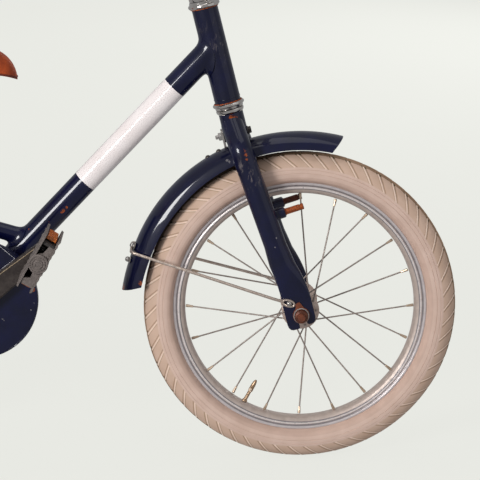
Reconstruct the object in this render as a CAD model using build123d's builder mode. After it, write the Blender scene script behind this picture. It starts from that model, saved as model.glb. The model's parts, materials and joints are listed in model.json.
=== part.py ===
from build123d import *
import os
from math import acos, asin, atan2, cos, degrees, pi, radians, sin, sqrt, tan

# A child's step-through bicycle with 16 inch wheels, parked on its side stand.
# It is drawn upright: X forward from the rear axle, Y to its left, Z up from the ground.
# At the end every piece is leaned onto the stand and set down on the floor.

# clearances: turning fits, seats that stand apart, and seats that touch
RUNNING_CLEARANCE = 0.08
SEAT_CLEARANCE = 0.3
TOUCH_CLEARANCE = 0.05

# rims and tyres
RIM_OUTER_RADIUS = 161.5
RIM_DEPTH = 15.5
RIM_HALF_WIDTH = 13.5
RIM_WELL_HALF_WIDTH = 9.0
RIM_SHOULDER_DEPTH = 5.0
RIM_LIP_THICKNESS = 2.0
RIM_SEAT_DEPTH = 7.5
TYRE_SECTION_RADIUS = 23.5
TYRE_STAND_HEIGHT = 14.5
TYRE_CHORDS = 6
VALVE_RADIUS = 3.0
VALVE_LENGTH = 32.0
FRONT_VALVE_ANGLE = 241.0
REAR_VALVE_ANGLE = 118.0

# spokes, hubs and axles
SPOKES_PER_FLANGE = 10
SPOKE_RADIUS = 0.9
SPOKE_TURN_ANGLE = 36.0
SPOKE_RIM_OFFSET = 3.0
NIPPLE_RADIUS = 1.9
NIPPLE_LENGTH = 12.0
NIPPLE_GAP = 0.87
FLANGE_THICKNESS = 3.0
FRONT_HUB_HALF_WIDTH = 46.0
FRONT_FLANGE_OFFSET = 31.0
FRONT_FLANGE_RADIUS = 23.0
FRONT_BARREL_RADIUS = 10.0
FRONT_NECK_RADIUS = 11.0
REAR_FLANGE_OFFSET = 27.0
REAR_FLANGE_RADIUS = 34.0
REAR_BARREL_RADIUS = 26.0
REAR_NECK_RADIUS = 17.0
AXLE_RADIUS = 4.75
AXLE_END_LENGTH = 5.0
CONE_RADIUS = 8.5
FRONT_CONE_LENGTH = 4.0
NUT_RADIUS = 8.2
NUT_HEIGHT = 9.0
WASHER_RADIUS = 11.0
WASHER_THICKNESS = 2.0
TAB_RADIUS = 3.0
TAB_REACH = 14.0

# fenders and their stays
FENDER_GAP = 25.1
FENDER_SIDE_GAP = 4.5
FENDER_ARCH_HEIGHT = 11.6
FENDER_SKIRT_HEIGHT = 8.0
FENDER_THICKNESS = 1.5
FENDER_TIP_ANGLE = 2.9
FRONT_FENDER_START_ANGLE = 76.1
FRONT_FENDER_END_ANGLE = 174.6
REAR_FENDER_START_ANGLE = 14.0
REAR_FENDER_END_ANGLE = 178.0
STAY_WIRE_RADIUS = 1.7
STAY_WIRE_BEND_RADIUS = 6.0
STAY_WRAP_GAP = 3.0
FRONT_STAY_ANGLE = 162.5
REAR_STAY_ANGLE = 150.0
FRONT_STAY_LEAD_LENGTH = 20.0
REAR_STAY_LEAD_LENGTH = 30.0
EYELET_RADIUS = 6.0
FRONT_EYE_BACK_OFFSET = 12.4
FRONT_EYE_HEIGHT = 19.6
REAR_EYE_FORWARD_OFFSET = 4.0
REAR_EYE_HEIGHT = 24.0

# steering axis and headset
HEAD_TILT_ANGLE = 13.8
FORK_RAKE_OFFSET = 26.0
HEAD_LENGTH = 122.6
HEAD_RADIUS = 16.5
HEAD_BORE_RADIUS = 14.0
STEERER_RADIUS = 12.7
CUP_RADIUS = 19.8
CUP_CHAMFER_LENGTH = 1.6
LOWER_CUP_HEIGHT = 8.0
UPPER_CUP_HEIGHT = 9.0
RACE_RADIUS = 18.3
RACE_HEIGHT = 5.7
LOCKNUT_RADIUS = 17.0
LOCKNUT_HEIGHT = 14.0

# fork crown, blades and brake studs
CROWN_GAP = 4.3
CROWN_RADIUS = 15.5
CROWN_HEIGHT = 35.0
BLADE_RADIUS = 12.7
BLADE_BEND_RADIUS = 26.0
BLADE_ROOT_OFFSET = 13.0
BLADE_ROOT_HEIGHT = 22.0
BLADE_SHOULDER_DEPTH = 7.0
BLADE_FENDER_GAP = 1.3
BLADE_SPLAY_OFFSET = 4.0
BLADE_LEAN_SLOPE = 0.1
BLADE_LOW_HEIGHT = 60.0
BLADE_FLAT_HEIGHT = 22.0
BLADE_END_THICKNESS = 7.0
BLADE_END_WIDTH = 36.0
BLADE_END_HEIGHT = 20.4
BLADE_END_DEPTH = 20.0
BLADE_END_CORNER_LENGTH = 7.0
FRONT_SLOT_WIDTH = 10.0
STUD_RADIUS = 4.0
STUD_LENGTH = 24.0
STUD_BOSS_RADIUS = 7.0
STUD_BOSS_LENGTH = 12.0
STUD_INSET_OFFSET = 9.0
STUD_RIM_GAP = 11.6
CROWN_BOLT_HEIGHT = 8.0
CROWN_BOLT_RADIUS = 3.0
CROWN_BOLT_END_LENGTH = 3.0
BOLT_HEAD_RADIUS = 5.5
BOLT_HEAD_HEIGHT = 4.5
FENDER_BRACKET_WIDTH = 14.0
FENDER_BRACKET_THICKNESS = 2.5
FENDER_BRACKET_TOP_HEIGHT = 9.0
FENDER_BRACKET_CORNER_RADIUS = 4.0

# stem, handlebar and grips
QUILL_RADIUS = 11.0
STEM_HEIGHT = 62.0
STEM_REACH = 38.0
STEM_CLAMP_RADIUS = 17.0
STEM_CLAMP_HALF_WIDTH = 19.0
BAR_RADIUS = 11.0
BAR_BEND_RADIUS = 42.0
BAR_STRAIGHT_HALF_WIDTH = 52.0
BAR_SHOULDER_HALF_WIDTH = 176.0
BAR_SHOULDER_REACH = 14.0
BAR_RISE_HEIGHT = 46.0
BAR_HALF_WIDTH = 248.0
BAR_TURN_REACH = 40.0
BAR_TURN_INSET_OFFSET = 16.0
BAR_TURN_DEPTH = 2.0
BAR_SWEEP_REACH = 150.0
BAR_END_DEPTH = 14.0
GRIP_RADIUS = 15.0
GRIP_LENGTH = 94.0
GRIP_FLANGE_RADIUS = 19.0
GRIP_FLANGE_THICKNESS = 5.0
GRIP_END_THICKNESS = 4.0

# frame tubes
WHEELBASE_LENGTH = 680.0
SHELL_RISE_HEIGHT = 22.5
SHELL_FENDER_GAP = 32.4
SHELL_RADIUS = 20.0
SHELL_HALF_WIDTH = 34.0
SPINDLE_RADIUS = 8.0
DOWN_TUBE_RADIUS = 15.9
DOWN_TUBE_JOIN_HEIGHT = 72.6
SEAT_TUBE_ANGLE = 72.5
SEAT_TUBE_RADIUS = 14.3
SEAT_TUBE_LENGTH = 187.0
BRACE_RADIUS = 10.5
BRACE_FRONT_LENGTH = 89.3
BRACE_REAR_LENGTH = 95.0
CHAIN_STAY_RADIUS = 7.0
CHAIN_STAY_TYRE_GAP = 7.5
CHAIN_STAY_ROOT_OFFSET = 26.0
CHAIN_STAY_ROOT_DEPTH = 14.0
CHAIN_STAY_BULGE_DEPTH = 50.0
CHAIN_STAY_BEND_RADIUS = 90.0
CHAIN_STAY_END_LENGTH = 56.0
CHAIN_STAY_END_HEIGHT = 4.0
SEAT_STAY_RADIUS = 6.5
SEAT_STAY_DEPTH = 37.0
SEAT_STAY_ROOT_OFFSET = 9.0
SEAT_STAY_FENDER_GAP = 9.5
SEAT_STAY_SHOULDER_GAP = 12.4
SEAT_STAY_BEND_RADIUS = 40.0
SEAT_STAY_END_LENGTH = 30.0
BRIDGE_RADIUS = 6.0
DROPOUT_GAP = 14.0
DROPOUT_THICKNESS = 6.0
DROPOUT_RADIUS = 19.0
DROPOUT_LOWER_RADIUS = 13.0
DROPOUT_UPPER_RADIUS = 12.0
DROPOUT_LUG_RADIUS = 7.0

# seat post and saddle
POST_RADIUS = 12.6
POST_LENGTH = 132.0
POST_INSERTION_LENGTH = 60.0
COLLAR_RADIUS = 18.5
COLLAR_HEIGHT = 18.0
CLAMP_RADIUS = 12.0
CLAMP_LIFT_HEIGHT = 3.0
CLAMP_END_WIDTH = 6.0
RAIL_RADIUS = 3.5
RAIL_OFFSET = 20.0
RAIL_DEPTH = 16.0
RAIL_FRONT_LENGTH = 66.0
RAIL_REAR_LENGTH = 64.0
RAIL_BEND_RADIUS = 9.0
SADDLE_REACH = 127.5
SADDLE_LENGTH = 242.0
SADDLE_HALF_WIDTH = 80.0
SADDLE_NOSE_RADIUS = 22.0
SADDLE_REAR_RADIUS = 42.0
SADDLE_DEPTH = 44.0
SADDLE_CROWN_RADIUS = 16.0
SADDLE_EDGE_RADIUS = 5.0

# chain, chainring and sprocket
CHAIN_PITCH = 12.7
CHAIN_STAY_CHAIN_GAP = 1.0
CHAIN_INNER_WIDTH = 3.3
CHAIN_PLATE_THICKNESS = 1.05
CHAIN_PLATE_HEIGHT = 7.6
CHAIN_PLATE_END_LENGTH = 3.9
CHAIN_ROLLER_WIDTH = 5.6
RING_TEETH = 32
SPROCKET_TEETH = 16
TOOTH_THICKNESS = 2.4
TOOTH_ROOT_DEPTH = 4.3
TOOTH_TIP_HEIGHT = 3.2
TOOTH_ROOT_SHARE = 0.42
TOOTH_TIP_SHARE = 0.16
RING_HUB_RADIUS = 17.0
RING_HUB_HALF_WIDTH = 4.0
RING_HOLES = 5
RING_HOLE_RADIUS = 13.0
SPROCKET_BOSS_RADIUS = 14.0
SPROCKET_STAND_OFFSET = 4.0
SPROCKET_CONE_GAP = 0.5

# chain guard
GUARD_CHAIN_GAP = 5.2
GUARD_RADIUS = 75.0
GUARD_SHOULDER_RADIUS = 44.0
GUARD_DEPTH = 9.0
GUARD_WALL_THICKNESS = 1.5
GUARD_TAIL_REACH = 150.0
GUARD_TAIL_HEIGHT = 26.0
GUARD_TAIL_RADIUS = 18.0
GUARD_AXLE_HOLE_RADIUS = 15.0
GUARD_STRUT_RADIUS = 4.0
GUARD_STRUT_REACH = 13.0

# cranks and pedals
CRANK_LENGTH = 105.0
CRANK_ANGLE = 38.5
CRANK_GUARD_GAP = 5.0
CRANK_THICKNESS = 12.0
CRANK_ROOT_RADIUS = 15.0
CRANK_TIP_RADIUS = 11.0
PEDAL_SPINDLE_RADIUS = 4.5
PEDAL_GAP = 5.0
PEDAL_WIDTH = 66.0
PEDAL_LENGTH = 76.0
PEDAL_THICKNESS = 22.0
PEDAL_ANGLE = 60.0
PEDAL_BARREL_RADIUS = 11.0
PEDAL_TREAD_LENGTH = 20.0
PEDAL_TREAD_CORNER_RADIUS = 4.0
PEDAL_PLATE_THICKNESS = 5.0
PEDAL_PLATE_INSET_LENGTH = 3.0
PEDAL_PLATE_CORNER_RADIUS = 5.0
PEDAL_CAP_RADIUS = 12.0
PEDAL_CAP_HEIGHT = 3.0
PEDAL_NOTCHES = 3
PEDAL_NOTCH_WIDTH = 2.6
REFLECTOR_LENGTH = 44.0
REFLECTOR_HEIGHT = 11.0
REFLECTOR_DEPTH = 2.5
REFLECTOR_CORNER_RADIUS = 2.0

# coaster brake's reaction arm
ARM_STAND_OFFSET = 5.0
ARM_ROOT_RADIUS = 15.0
ARM_END_RADIUS = 8.0
ARM_THICKNESS = 3.0
ARM_CONE_LENGTH = 4.0
ARM_DUST_CAP_RADIUS = 17.0
ARM_STRAP_REACH = 26.0
ARM_STRAP_WIDTH = 12.0
ARM_STRAP_THICKNESS = 2.0
ARM_STAY_GAP = 9.0

# side stand
LEAN_ANGLE = 6.0
STAND_PIVOT_REACH = 18.0
STAND_PIVOT_OFFSET = 15.0
STAND_PIVOT_DEPTH = 27.5
STAND_FOOT_REACH = 8.0
STAND_FOOT_OFFSET = 66.0
STAND_LEG_RADIUS = 6.5
STAND_EYE_RADIUS = 12.0
STAND_EYE_HALF_WIDTH = 7.5
STAND_PIN_RADIUS = 4.0
STAND_PIN_HEAD_RADIUS = 8.0
STAND_PIN_HEAD_HEIGHT = 3.0
STAND_BOSS_RADIUS = 9.0
STAND_BOSS_LENGTH = 18.0
STAND_PLATE_THICKNESS = 5.0
STAND_PLATE_UPPER_RADIUS = 14.0
STAND_PLATE_LOWER_RADIUS = 13.0
STAND_PLATE_REACH = 2.0
STAND_PLATE_PIVOT_HEIGHT = 4.0
STAND_FOOT_RADIUS = 13.0
STAND_FOOT_HEIGHT = 6.0
STAND_FOOT_BITE_DEPTH = 1.0

# sizes that follow from those
RIM_INNER_RADIUS = RIM_OUTER_RADIUS - RIM_DEPTH
TYRE_MIDDLE_RADIUS = RIM_OUTER_RADIUS + TYRE_STAND_HEIGHT
TYRE_RADIUS = TYRE_MIDDLE_RADIUS + TYRE_SECTION_RADIUS
FENDER_RADIUS = TYRE_RADIUS + FENDER_GAP
FENDER_SHOULDER_RADIUS = FENDER_RADIUS - FENDER_ARCH_HEIGHT
FENDER_SKIRT_RADIUS = FENDER_SHOULDER_RADIUS - FENDER_SKIRT_HEIGHT
FENDER_HALF_WIDTH = TYRE_SECTION_RADIUS + FENDER_SIDE_GAP
EYELET_THICKNESS = 2 * STAY_WIRE_RADIUS
FORK_INNER_HALF_WIDTH = FRONT_HUB_HALF_WIDTH + FRONT_CONE_LENGTH
BLADE_SHOULDER_OFFSET = FENDER_HALF_WIDTH + BLADE_FENDER_GAP + BLADE_RADIUS
BLADE_LOW_OFFSET = BLADE_SHOULDER_OFFSET + BLADE_SPLAY_OFFSET
STUD_OFFSET = BLADE_SHOULDER_OFFSET - STUD_INSET_OFFSET
CHAIN_STAY_BULGE_OFFSET = TYRE_SECTION_RADIUS + CHAIN_STAY_TYRE_GAP + CHAIN_STAY_RADIUS
CHAIN_LINE = CHAIN_STAY_BULGE_OFFSET + CHAIN_STAY_RADIUS + CHAIN_STAY_CHAIN_GAP
REAR_HUB_HALF_WIDTH = CHAIN_LINE - SPROCKET_STAND_OFFSET
REAR_INNER_HALF_WIDTH = CHAIN_LINE + DROPOUT_GAP
STAY_END_OFFSET = REAR_INNER_HALF_WIDTH + DROPOUT_THICKNESS / 2
SEAT_STAY_SHOULDER_OFFSET = FENDER_HALF_WIDTH + SEAT_STAY_FENDER_GAP + SEAT_STAY_RADIUS
CHAIN_HALF_WIDTH = CHAIN_INNER_WIDTH / 2 + 2 * CHAIN_PLATE_THICKNESS + TOUCH_CLEARANCE
RING_RADIUS = CHAIN_PITCH / 2 / sin(pi / RING_TEETH)
SPROCKET_RADIUS = CHAIN_PITCH / 2 / sin(pi / SPROCKET_TEETH)
GUARD_OUTER = CHAIN_LINE + CHAIN_HALF_WIDTH + GUARD_CHAIN_GAP + GUARD_DEPTH
CRANK_INNER = GUARD_OUTER + CRANK_GUARD_GAP
HUB_BORE_RADIUS = AXLE_RADIUS + RUNNING_CLEARANCE

# places that follow from those sizes
AXLE_HEIGHT = TYRE_RADIUS
REAR_AXLE = Vector(0, 0, AXLE_HEIGHT)
FRONT_AXLE = Vector(WHEELBASE_LENGTH, 0, AXLE_HEIGHT)
CHAIN_STAY_LENGTH = FENDER_RADIUS + SHELL_FENDER_GAP + SHELL_RADIUS
SHELL = REAR_AXLE + Vector(sqrt(CHAIN_STAY_LENGTH ** 2 - SHELL_RISE_HEIGHT ** 2), 0, SHELL_RISE_HEIGHT)
STEER_UP = Vector(-sin(radians(HEAD_TILT_ANGLE)), 0, cos(radians(HEAD_TILT_ANGLE)))
STEER_FORWARD = Vector(cos(radians(HEAD_TILT_ANGLE)), 0, sin(radians(HEAD_TILT_ANGLE)))
STEER_ORIGIN = FRONT_AXLE - Vector(FORK_RAKE_OFFSET / cos(radians(HEAD_TILT_ANGLE)), 0, 0)
SEAT_UP = Vector(-cos(radians(SEAT_TUBE_ANGLE)), 0, sin(radians(SEAT_TUBE_ANGLE)))

# heights along the steering axis, from the front axle up to the locknut
AXLE_UP = -FORK_RAKE_OFFSET * tan(radians(HEAD_TILT_ANGLE))
STUD_HEIGHT = AXLE_UP + RIM_INNER_RADIUS - STUD_RIM_GAP
CROWN_BASE = AXLE_UP + sqrt((FENDER_RADIUS + CROWN_GAP) ** 2 - FORK_RAKE_OFFSET ** 2)
CROWN_BOLT_UP = CROWN_BASE + CROWN_BOLT_HEIGHT
RACE_BASE = CROWN_BASE + CROWN_HEIGHT
LOWER_CUP_BASE = RACE_BASE + RACE_HEIGHT + SEAT_CLEARANCE
HEAD_BASE = LOWER_CUP_BASE + LOWER_CUP_HEIGHT
UPPER_CUP_BASE = HEAD_BASE + HEAD_LENGTH
LOCKNUT_BASE = UPPER_CUP_BASE + UPPER_CUP_HEIGHT + SEAT_CLEARANCE
STEERER_TOP = LOCKNUT_BASE + LOCKNUT_HEIGHT
STEM_TOP = STEERER_TOP + STEM_HEIGHT
BAR_UP = STEM_TOP - QUILL_RADIUS

SIDES = (("right", -1), ("left", 1))
pieces = {}


def steer(forward, left, up):
    """A point given from the steering axis: forward of it, to its left, and up along it."""
    return STEER_ORIGIN + STEER_FORWARD * forward + Vector(0, left, 0) + STEER_UP * up


def around(centre, radius, angle, left=0.0):
    """A point at a radius and an angle from a wheel's or crank's axle, counted up from straight ahead."""
    return centre + Vector(radius * cos(radians(angle)), left, radius * sin(radians(angle)))


def across(point, left):
    """The same point moved sideways to a distance from the middle plane."""
    return Vector(point.X, left, point.Z)


def side_plane(left):
    """A plane seen from the right, at a distance from the middle plane: X forward, Z up."""
    return Plane(origin=(0, left, 0), x_dir=(1, 0, 0), z_dir=(0, -1, 0))


def disc(centre, radius, mode=Mode.ADD):
    """A circle in a side plane's sketch, round a point of the bicycle."""
    with Locations((centre.X, centre.Z)):
        Circle(radius, mode=mode)


def rod(start, end, radius, mode=Mode.ADD):
    """A round bar between two points, in the piece that is being made."""
    length = Vector(end) - Vector(start)
    with BuildSketch(Plane(origin=start, z_dir=length)) as section:
        Circle(radius)
    extrude(section.sketch, amount=length.length, mode=mode)


def bent_rod(points, bend_radius, radius):
    """A round bar along straight runs joined by tangent bends."""
    with BuildLine() as path:
        FilletPolyline(*points, radius=bend_radius)
    with BuildSketch(Plane(origin=path.line @ 0, z_dir=path.line % 0)) as section:
        Circle(radius)
    sweep(section.sketch, path=path.line)


def turned(centre, outline):
    """A solid of revolution on a wheel's axle, from an outline of (radius, sideways) points."""
    with BuildSketch(Plane(origin=centre, x_dir=(1, 0, 0), z_dir=(0, 0, 1))) as section:
        with BuildLine():
            Polyline(*outline, close=True)
        make_face()
    revolve(section.sketch, axis=Axis(centre, (0, 1, 0)))


def steer_ring(low, high, outer, inner=None):
    """A disc round the steering axis, or a ring, between two heights along it."""
    with BuildSketch(Plane(origin=steer(0, 0, low), x_dir=STEER_FORWARD, z_dir=STEER_UP)) as section:
        Circle(outer)
        if inner:
            Circle(inner, mode=Mode.SUBTRACT)
    extrude(section.sketch, amount=high - low)


def keep(name, piece):
    """Names a finished piece and keeps it for the end."""
    piece.part.label = name
    pieces[name] = piece.part


# head tube and headset
head_low = steer(0, 0, HEAD_BASE)
head_high = steer(0, 0, UPPER_CUP_BASE)
with BuildPart() as head_tube:
    steer_ring(HEAD_BASE, UPPER_CUP_BASE, HEAD_RADIUS, HEAD_BORE_RADIUS)
keep("head_tube", head_tube)

with BuildPart() as headset_cups:
    steer_ring(UPPER_CUP_BASE, LOCKNUT_BASE - SEAT_CLEARANCE, CUP_RADIUS, STEERER_RADIUS + RUNNING_CLEARANCE)
    steer_ring(LOWER_CUP_BASE, HEAD_BASE, CUP_RADIUS, STEERER_RADIUS + RUNNING_CLEARANCE)
    cup_edges = headset_cups.edges().filter_by(GeomType.CIRCLE).sort_by(SortBy.RADIUS)[-4:]
    chamfer(cup_edges, CUP_CHAMFER_LENGTH)
keep("headset_cups", headset_cups)

# bottom bracket shell and the tubes that meet it
shell_ends = (across(SHELL, -SHELL_HALF_WIDTH), across(SHELL, SHELL_HALF_WIDTH))
with BuildPart() as bottom_bracket_shell:
    rod(*shell_ends, SHELL_RADIUS)
    rod(*shell_ends, SPINDLE_RADIUS + RUNNING_CLEARANCE, mode=Mode.SUBTRACT)
keep("bottom_bracket_shell", bottom_bracket_shell)

down_tube_top = steer(0, 0, HEAD_BASE + DOWN_TUBE_JOIN_HEIGHT)
down_tube_line = (down_tube_top - SHELL).normalized()
with BuildPart() as down_tube:
    rod(SHELL, down_tube_top, DOWN_TUBE_RADIUS)
    rod(head_low, head_high, HEAD_RADIUS, mode=Mode.SUBTRACT)
    rod(*shell_ends, SHELL_RADIUS, mode=Mode.SUBTRACT)
keep("down_tube", down_tube)

seat_tube_top = SHELL + SEAT_UP * SEAT_TUBE_LENGTH
seat_bore_base = seat_tube_top - SEAT_UP * POST_INSERTION_LENGTH
with BuildPart() as seat_tube:
    rod(SHELL, seat_tube_top, SEAT_TUBE_RADIUS)
    rod(seat_bore_base, seat_tube_top, POST_RADIUS + TOUCH_CLEARANCE, mode=Mode.SUBTRACT)
    rod(*shell_ends, SHELL_RADIUS, mode=Mode.SUBTRACT)
    rod(SHELL, down_tube_top, DOWN_TUBE_RADIUS, mode=Mode.SUBTRACT)
keep("seat_tube", seat_tube)

brace_front = SHELL + down_tube_line * BRACE_FRONT_LENGTH
brace_rear = SHELL + SEAT_UP * BRACE_REAR_LENGTH
with BuildPart() as brace_tube:
    rod(brace_front, brace_rear, BRACE_RADIUS)
    rod(SHELL, down_tube_top, DOWN_TUBE_RADIUS, mode=Mode.SUBTRACT)
    rod(SHELL, seat_tube_top, SEAT_TUBE_RADIUS, mode=Mode.SUBTRACT)
keep("brace_tube", brace_tube)

# stays from the shell and the seat tube to the rear axle, with the dropouts at their ends
seat_stay_root = seat_tube_top - SEAT_UP * SEAT_STAY_DEPTH
stay_line = (REAR_AXLE - seat_stay_root).normalized()
seat_stay_end = REAR_AXLE - stay_line * SEAT_STAY_END_LENGTH
chain_stay_end = REAR_AXLE + Vector(CHAIN_STAY_END_LENGTH, 0, CHAIN_STAY_END_HEIGHT)
rear_eye = REAR_AXLE + Vector(REAR_EYE_FORWARD_OFFSET, 0, REAR_EYE_HEIGHT)


def chain_stay_points(side):
    """The chain stay's corners: at the shell, beside the tyre, and at the dropout."""
    bulge_x = TYRE_RADIUS - CHAIN_STAY_BULGE_DEPTH
    return (
        across(SHELL - Vector(CHAIN_STAY_ROOT_DEPTH, 0, 0), side * CHAIN_STAY_ROOT_OFFSET),
        Vector(bulge_x, side * CHAIN_STAY_BULGE_OFFSET, AXLE_HEIGHT + SHELL_RISE_HEIGHT * bulge_x / SHELL.X),
        across(chain_stay_end, side * STAY_END_OFFSET),
    )


def seat_stay_points(side):
    """The seat stay's corners: at the seat tube, beside the fender, and at the dropout."""
    shoulder = REAR_AXLE - stay_line * (FENDER_RADIUS + SEAT_STAY_SHOULDER_GAP)
    return (
        across(seat_stay_root, side * SEAT_STAY_ROOT_OFFSET),
        across(shoulder, side * SEAT_STAY_SHOULDER_OFFSET),
        across(seat_stay_end, side * STAY_END_OFFSET),
    )


for side_name, side in SIDES:
    with BuildPart() as chain_stay:
        bent_rod(chain_stay_points(side), CHAIN_STAY_BEND_RADIUS, CHAIN_STAY_RADIUS)
        rod(*shell_ends, SHELL_RADIUS, mode=Mode.SUBTRACT)
    keep(f"chain_stay_{side_name}", chain_stay)

    with BuildPart() as seat_stay:
        bent_rod(seat_stay_points(side), SEAT_STAY_BEND_RADIUS, SEAT_STAY_RADIUS)
        rod(SHELL, seat_tube_top, SEAT_TUBE_RADIUS, mode=Mode.SUBTRACT)
    keep(f"seat_stay_{side_name}", seat_stay)

    with BuildPart() as dropout:
        with BuildSketch(side_plane(side * REAR_INNER_HALF_WIDTH)):
            disc(REAR_AXLE, DROPOUT_RADIUS)
            disc(chain_stay_end, DROPOUT_LOWER_RADIUS)
            disc(seat_stay_end, DROPOUT_UPPER_RADIUS)
            disc(rear_eye, DROPOUT_LUG_RADIUS)
            make_hull()
            disc(REAR_AXLE, AXLE_RADIUS + TOUCH_CLEARANCE, mode=Mode.SUBTRACT)
            with Locations((REAR_AXLE.X - DROPOUT_RADIUS, REAR_AXLE.Z)):
                Rectangle(2 * DROPOUT_RADIUS, 2 * (AXLE_RADIUS + TOUCH_CLEARANCE), mode=Mode.SUBTRACT)
        extrude(amount=-side * DROPOUT_THICKNESS)
        add(pieces[f"chain_stay_{side_name}"], mode=Mode.SUBTRACT)
        add(pieces[f"seat_stay_{side_name}"], mode=Mode.SUBTRACT)
    keep(f"dropout_{side_name}", dropout)

bridge_centre = REAR_AXLE - stay_line * (FENDER_RADIUS + BRIDGE_RADIUS + SEAT_CLEARANCE)
with BuildPart() as stay_bridge:
    rod(across(bridge_centre, -SEAT_STAY_SHOULDER_OFFSET), across(bridge_centre, SEAT_STAY_SHOULDER_OFFSET),
        BRIDGE_RADIUS)
    for side_name, side in SIDES:
        add(pieces[f"seat_stay_{side_name}"], mode=Mode.SUBTRACT)
keep("stay_bridge", stay_bridge)

# seat post, its clamp and the saddle
collar_base = seat_tube_top - SEAT_UP * COLLAR_HEIGHT
with BuildPart() as seat_collar:
    rod(collar_base, seat_tube_top, COLLAR_RADIUS)
    rod(collar_base, seat_tube_top, SEAT_TUBE_RADIUS + TOUCH_CLEARANCE, mode=Mode.SUBTRACT)
keep("seat_collar", seat_collar)

post_top = seat_bore_base + SEAT_UP * POST_LENGTH
with BuildPart() as seat_post:
    rod(seat_bore_base, post_top, POST_RADIUS)
keep("seat_post", seat_post)

clamp_centre = post_top + Vector(0, 0, CLAMP_LIFT_HEIGHT)
saddle_bottom = clamp_centre.Z + RAIL_DEPTH
rail_front = clamp_centre.X + RAIL_FRONT_LENGTH
rail_rear = clamp_centre.X - RAIL_REAR_LENGTH
with BuildPart() as saddle_rails:
    for side_name, side in SIDES:
        rail_side = side * RAIL_OFFSET
        rail_points = (
            Vector(rail_rear, rail_side, saddle_bottom),
            Vector(rail_rear, rail_side, clamp_centre.Z),
            Vector(rail_front, rail_side, clamp_centre.Z),
            Vector(rail_front, rail_side, saddle_bottom),
        )
        bent_rod(rail_points, RAIL_BEND_RADIUS, RAIL_RADIUS)
keep("saddle_rails", saddle_rails)

clamp_half_width = RAIL_OFFSET + RAIL_RADIUS + CLAMP_END_WIDTH
with BuildPart() as saddle_clamp:
    rod(across(clamp_centre, -clamp_half_width), across(clamp_centre, clamp_half_width), CLAMP_RADIUS)
    add(seat_post.part, mode=Mode.SUBTRACT)
    add(saddle_rails.part, mode=Mode.SUBTRACT)
keep("saddle_clamp", saddle_clamp)

saddle_nose = clamp_centre.X + SADDLE_REACH
with BuildPart() as saddle:
    with BuildSketch(Plane.XY.offset(saddle_bottom)):
        with Locations((saddle_nose - SADDLE_NOSE_RADIUS, 0)):
            Circle(SADDLE_NOSE_RADIUS)
        for side_name, side in SIDES:
            cheek = side * (SADDLE_HALF_WIDTH - SADDLE_REAR_RADIUS)
            with Locations((saddle_nose - SADDLE_LENGTH + SADDLE_REAR_RADIUS, cheek)):
                Circle(SADDLE_REAR_RADIUS)
        make_hull()
    extrude(amount=SADDLE_DEPTH)
    fillet(saddle.faces().sort_by(Axis.Z)[-1].edges(), SADDLE_CROWN_RADIUS)
    fillet(saddle.faces().sort_by(Axis.Z)[0].edges(), SADDLE_EDGE_RADIUS)
keep("saddle", saddle)

# fork: steerer and crown, blades with hammered slotted ends, brake studs
crown_bolt_reach = 2 * CROWN_RADIUS
with BuildPart() as fork_crown:
    steer_ring(CROWN_BASE, RACE_BASE, CROWN_RADIUS)
    steer_ring(RACE_BASE, STEERER_TOP, STEERER_RADIUS)
    rod(steer(-crown_bolt_reach, 0, CROWN_BOLT_UP), steer(crown_bolt_reach, 0, CROWN_BOLT_UP),
        CROWN_BOLT_RADIUS + TOUCH_CLEARANCE, mode=Mode.SUBTRACT)
keep("fork_crown", fork_crown)

with BuildPart() as headset_races:
    steer_ring(RACE_BASE, RACE_BASE + RACE_HEIGHT, RACE_RADIUS, STEERER_RADIUS + TOUCH_CLEARANCE)
    steer_ring(LOCKNUT_BASE, STEERER_TOP, LOCKNUT_RADIUS, STEERER_RADIUS + TOUCH_CLEARANCE)
keep("headset_races", headset_races)


def blade_forward(up):
    """How far forward of the steering axis the blade's middle is at a height along it."""
    return FORK_RAKE_OFFSET - BLADE_LEAN_SLOPE * (up - AXLE_UP)


def blade_points(side):
    """The blade's corners: in the crown, at its shoulder and above its flattened end."""
    shoulder_up = CROWN_BASE - BLADE_SHOULDER_DEPTH
    return (
        steer(0, side * BLADE_ROOT_OFFSET, CROWN_BASE + BLADE_ROOT_HEIGHT),
        steer(blade_forward(shoulder_up), side * BLADE_SHOULDER_OFFSET, shoulder_up),
        steer(blade_forward(BLADE_LOW_HEIGHT), side * BLADE_LOW_OFFSET, BLADE_LOW_HEIGHT),
    )


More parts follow.
